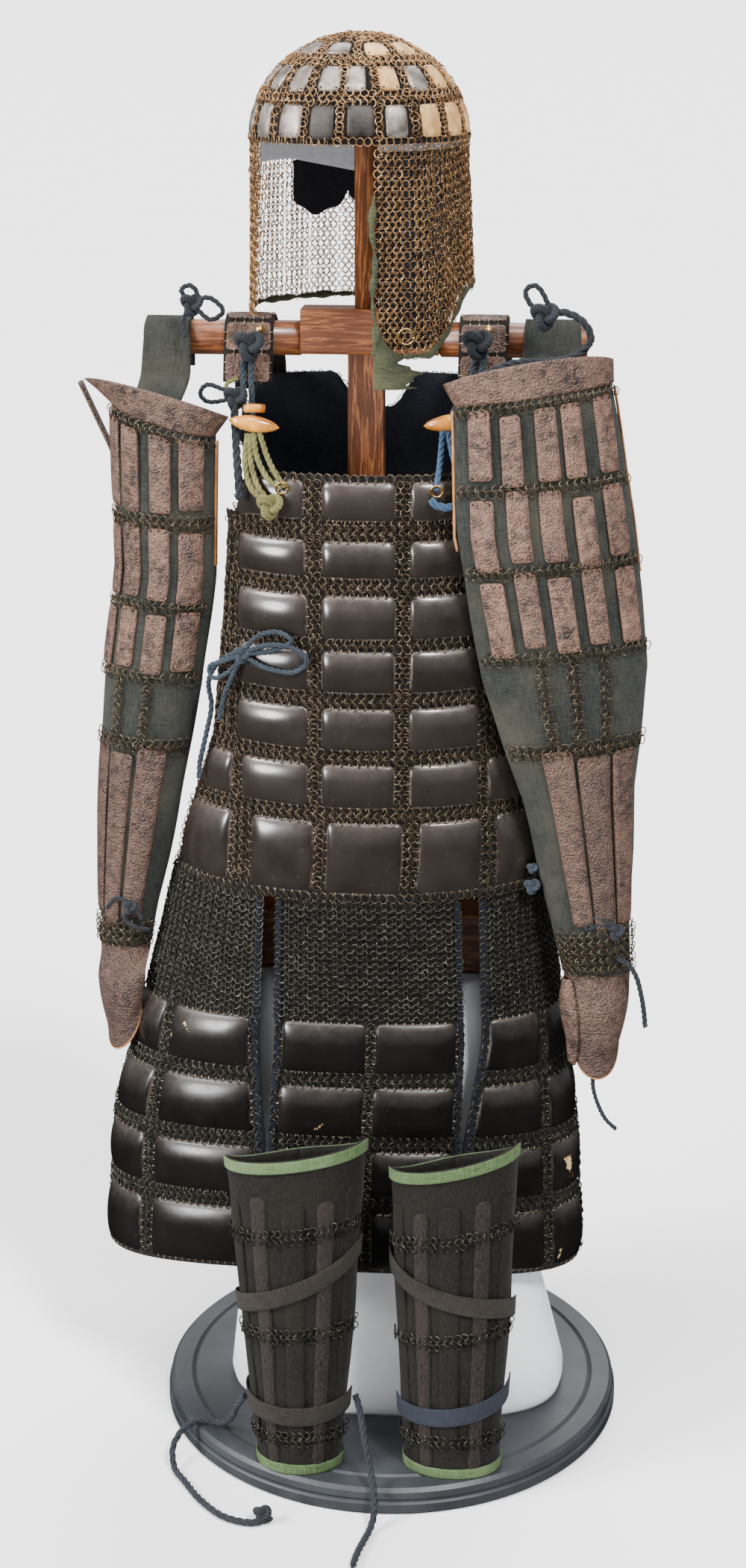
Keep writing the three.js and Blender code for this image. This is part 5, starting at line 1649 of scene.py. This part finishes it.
# Ties: the paint of the cord, then the radius and the route of each
TIES = {
    "ties_green": ("green_cord", [
        (3.2, [(-140, -68, 1154), (-133, -90, 1130), (-118, -106, 1110), (-106, -110, 1104)]),
        (3.2, [(-134, -68, 1154), (-122, -90, 1130), (-110, -106, 1114), (-102, -110, 1106)]),
        (3.2, [(-146, -68, 1152), (-146, -90, 1124), (-138, -104, 1102), (-122, -112, 1089)]),
        (3.2, [(-143, -70, 1152), (-139, -92, 1122), (-128, -106, 1100), (-114, -112, 1088)]),
        (2.4, [(-158, -47, 1206), (-170, -50, 1199), (-166, -52, 1190), (-156, -52, 1186)]),
    ]),
    "ties_blue": ("blue_cord", [
        (3.4, [(60, -70, 1158), (68, -92, 1132), (76, -108, 1112), (77, -112, 1105)]),
        (3.4, [(55, -70, 1158), (54, -94, 1130), (52, -108, 1112), (52, -112, 1105)]),
        (4.4, [(46, -113, 1095), (54, -117, 1090), (66, -117, 1089), (76, -113, 1093)]),
    ]),
    "ties_bow": ("cord", [
        (2.8, [(-150, -106, 928), (-122, -120, 942), (-92, -127, 940), (-80, -129, 928),
               (-92, -127, 916),
               (-122, -120, 917), (-148, -106, 926)]),
        (2.8, [(-150, -106, 930), (-132, -114, 950), (-108, -122, 956), (-96, -125, 948),
               (-112, -121, 938),
               (-148, -107, 928)]),
        (2.8, [(-150, -106, 927), (-170, -97, 918), (-188, -88, 908), (-184, -90, 897),
               (-166, -98, 906),
               (-150, -106, 926)]),
        (2.8, [(-150, -106, 926), (-162, -101, 902), (-172, -95, 878), (-178, -92, 852)]),
    ]),
    "ties_dark": ("dark_cord", [
        (4.2, [(154, -56, 1276), (178, -58, 1277), (196, -59, 1267), (203, -60, 1251), (190, -63, 1236),
               (161, -66, 1229), (129, -68, 1228), (97, -62, 1215), (84, -54, 1206)]),
        (3.0, [(155, -54, 1273), (141, -52, 1285), (136, -51, 1298), (146, -51, 1303), (158, -53, 1287),
               (160, -56, 1272)]),
        (2.8, [(-206, -34, 1280), (-217, -36, 1293), (-207, -36, 1298), (-200, -36, 1289),
               (-206, -35, 1279)]),
        (2.8, [(-206, -35, 1280), (-188, -38, 1286), (-173, -40, 1273), (-186, -40, 1264),
               (-204, -36, 1277)]),
        (2.8, [(-207, -35, 1279), (-215, -40, 1262), (-213, -43, 1246)]),
        (2.6, [(-160, -52, 1188), (-174, -52, 1195), (-190, -52, 1199), (-197, -52, 1190),
               (-190, -52, 1182),
               (-174, -53, 1183), (-161, -54, 1187)]),
        (4.6, [(-163, -52, 1194), (-160, -60, 1166), (-157, -74, 1136), (-153, -90, 1110),
               (-151, -98, 1090)]),
        (2.5, [(246, -78, 620), (229, -84, 630), (216, -86, 624), (216, -86, 636), (233, -84, 636),
               (247, -79, 622)]),
        (2.5, [(-318, -36, 612), (-304, -44, 628), (-288, -46, 621), (-276, -44, 603)]),
        (2.5, [(-290, -46, 618), (-296, -45, 604), (-282, -46, 594), (-270, -42, 590)]),
    ]),
}
# Knots: the paint of the cord, then the middle, the width and the cord's radius of each
KNOTS = {
    "knots_green": ("green_cord", [((-118, -114, 1087), 22, 4.4)]),
    "knots_bow": ("cord", [
        ((-150, -108, 928), 15, 3.2), ((156, -80, 670), 14, 3.0), ((156, -78, 690), 9, 2.4),
    ]),
    "knots_dark": ("dark_cord", [
        ((-146, -46, 1240), 26, 4.6), ((88, -46, 1244), 26, 4.6), ((156, -57, 1274), 24, 4.4),
        ((-206, -36, 1279), 20, 3.6), ((-160, -54, 1187), 20, 4.0), ((247, -78, 620), 15, 3.0),
        ((-289, -46, 618), 13, 2.8), ((-118, -290, 12), 15, 4.0),
    ]),
}
STUDS = [(-138, -24, 1252), (98, -24, 1254)]
STUD = [(0.3, -4.6), (2.5, -4), (4.2, -2), (5, 0), (5, 2), (0.3, 3)]
HOOPS = [(-106, -110, 1104), (52, -113, 1104), (77, -113, 1104)]
HOOD_HOOP = (20, -108, 1258)
CLASP = [(-148, -64, 1177), (-144, -66, 1178), (-134, -66, 1178), (-129, -64, 1177)]


def tie(build, radius, points):
    twist(build, points, radius)


def build_ties():
    for draw, pieces in ((tie, TIES), (knot, KNOTS)):
        for name, (paint, rows) in pieces.items():
            build = Build()
            for row in rows:
                draw(build, *row)
            build.make(name, paint, "braided_cord")
    metal = Build()
    for centre in STUDS:
        lathe(metal, STUD, centre, "Y", 24)
    for centre in HOOPS:
        hoop(metal, centre, 6, 1.3)
    hoop(metal, HOOD_HOOP, 8, 1.1)
    metal.make("gilt_fittings", "gilt", "mail")
    clasp = Build()
    tube(clasp, CLASP, 4.6, 12)
    clasp.make("cord_clasp", "horn", "horn")


SPLINT_AT, SPLINT_TILT = (-309.2, -31, 1159.6), -24


def build_loose_splint():
    turn = np.array(Matrix.Rotation(math.radians(SPLINT_TILT), 3, "Y"))

    def place(across, up, out):
        across, up, out = np.broadcast_arrays(np.asarray(across, float), up, out)
        return np.stack([-out, across, up], -1) @ turn.T + np.array(SPLINT_AT)

    one_shell(
        "loose_splint_plate", "rough_lacquer", "rough_lacquer", ["loose_splint"],
        place, (-7, 7, 5), (-42, 42, 20), 1.5, -1.5,
    )


# Floor and light

FLOOR_HALF = 450
# Where on the ramp from below the horizon upwards, and the colour there
SKY_DARK, SKY_PALE = (0.0, (0.02, 0.02, 0.022, 1)), (0.1, (0.93, 0.95, 1, 1))
SKY_LIFT, SKY_STRENGTH = 0.16, 0.42
# Degrees from the front and up, strength, and spread in degrees
SUNS = {
    "sun_left": (-64, 40, 4.6, 20),
    "sun_low": (-50, 9, 3.6, 17),
    "sun_right": (36, 50, 4.8, 12),
    "sun_top": (-12, 76, 2.0, 26),
    "sun_back": (172, 50, 2.5, 40),
}


def build_floor():
    """A pale floor that mirrors don't show."""
    mesh = bpy.data.meshes.new("floor")
    corners = [(x * FLOOR_HALF, y * FLOOR_HALF, 0) for x, y in ((-1, -1), (1, -1), (1, 1), (-1, 1))]
    mesh.from_pydata(corners, [], [(0, 1, 2, 3)])
    mesh.materials.append(plain_paint("floor", (0.86, 0.86, 0.86), (0.88, 0.88, 0.88), 0.9, 0.0, 2.0, 0.0001))
    floor = bpy.data.objects.new("floor", mesh)
    bpy.context.scene.collection.objects.link(floor)
    floor.visible_glossy = False


def build_world():
    """A studio that is pale down to just below the horizon, and dark under it."""
    world = bpy.data.worlds.new("studio")
    world.use_nodes = True
    nodes, links = world.node_tree.nodes, world.node_tree.links
    direction = nodes.new("ShaderNodeTexCoord")
    height = nodes.new("ShaderNodeSeparateXYZ")
    lift = nodes.new("ShaderNodeMath")
    ramp = nodes.new("ShaderNodeValToRGB")
    for element, (at, colour) in zip(ramp.color_ramp.elements, (SKY_DARK, SKY_PALE)):
        element.position = at
        element.color = colour
    lift.inputs[1].default_value = SKY_LIFT
    links.new(direction.outputs["Generated"], height.inputs[0])
    links.new(height.outputs[2], lift.inputs[0])
    links.new(lift.outputs[0], ramp.inputs[0])
    links.new(ramp.outputs[0], nodes["Background"].inputs["Color"])
    nodes["Background"].inputs["Strength"].default_value = SKY_STRENGTH
    bpy.context.scene.world = world


def build_suns():
    for name, (azimuth, elevation, strength, spread) in SUNS.items():
        data = bpy.data.lights.new(name, "SUN")
        data.energy = strength
        data.angle = math.radians(spread)
        sun = bpy.data.objects.new(name, data)
        a, e = math.radians(azimuth), math.radians(elevation)
        source = Vector((math.sin(a) * math.cos(e), -math.cos(a) * math.cos(e), math.sin(e)))
        sun.rotation_euler = source.to_track_quat("Z", "Y").to_euler()
        bpy.context.scene.collection.objects.link(sun)


build_camera()
build_cords()
build_stand()
build_cuirass()
build_straps()
build_skirt()
build_crown()
build_hood_lining()
build_curtain()
for arm_side in SLEEVES:
    build_sleeve(arm_side)
for shin_side in GUARDS:
    build_guard(shin_side)
build_tapes()
build_shoulder_cords()
build_ties()
build_loose_splint()
build_floor()
build_world()
build_suns()
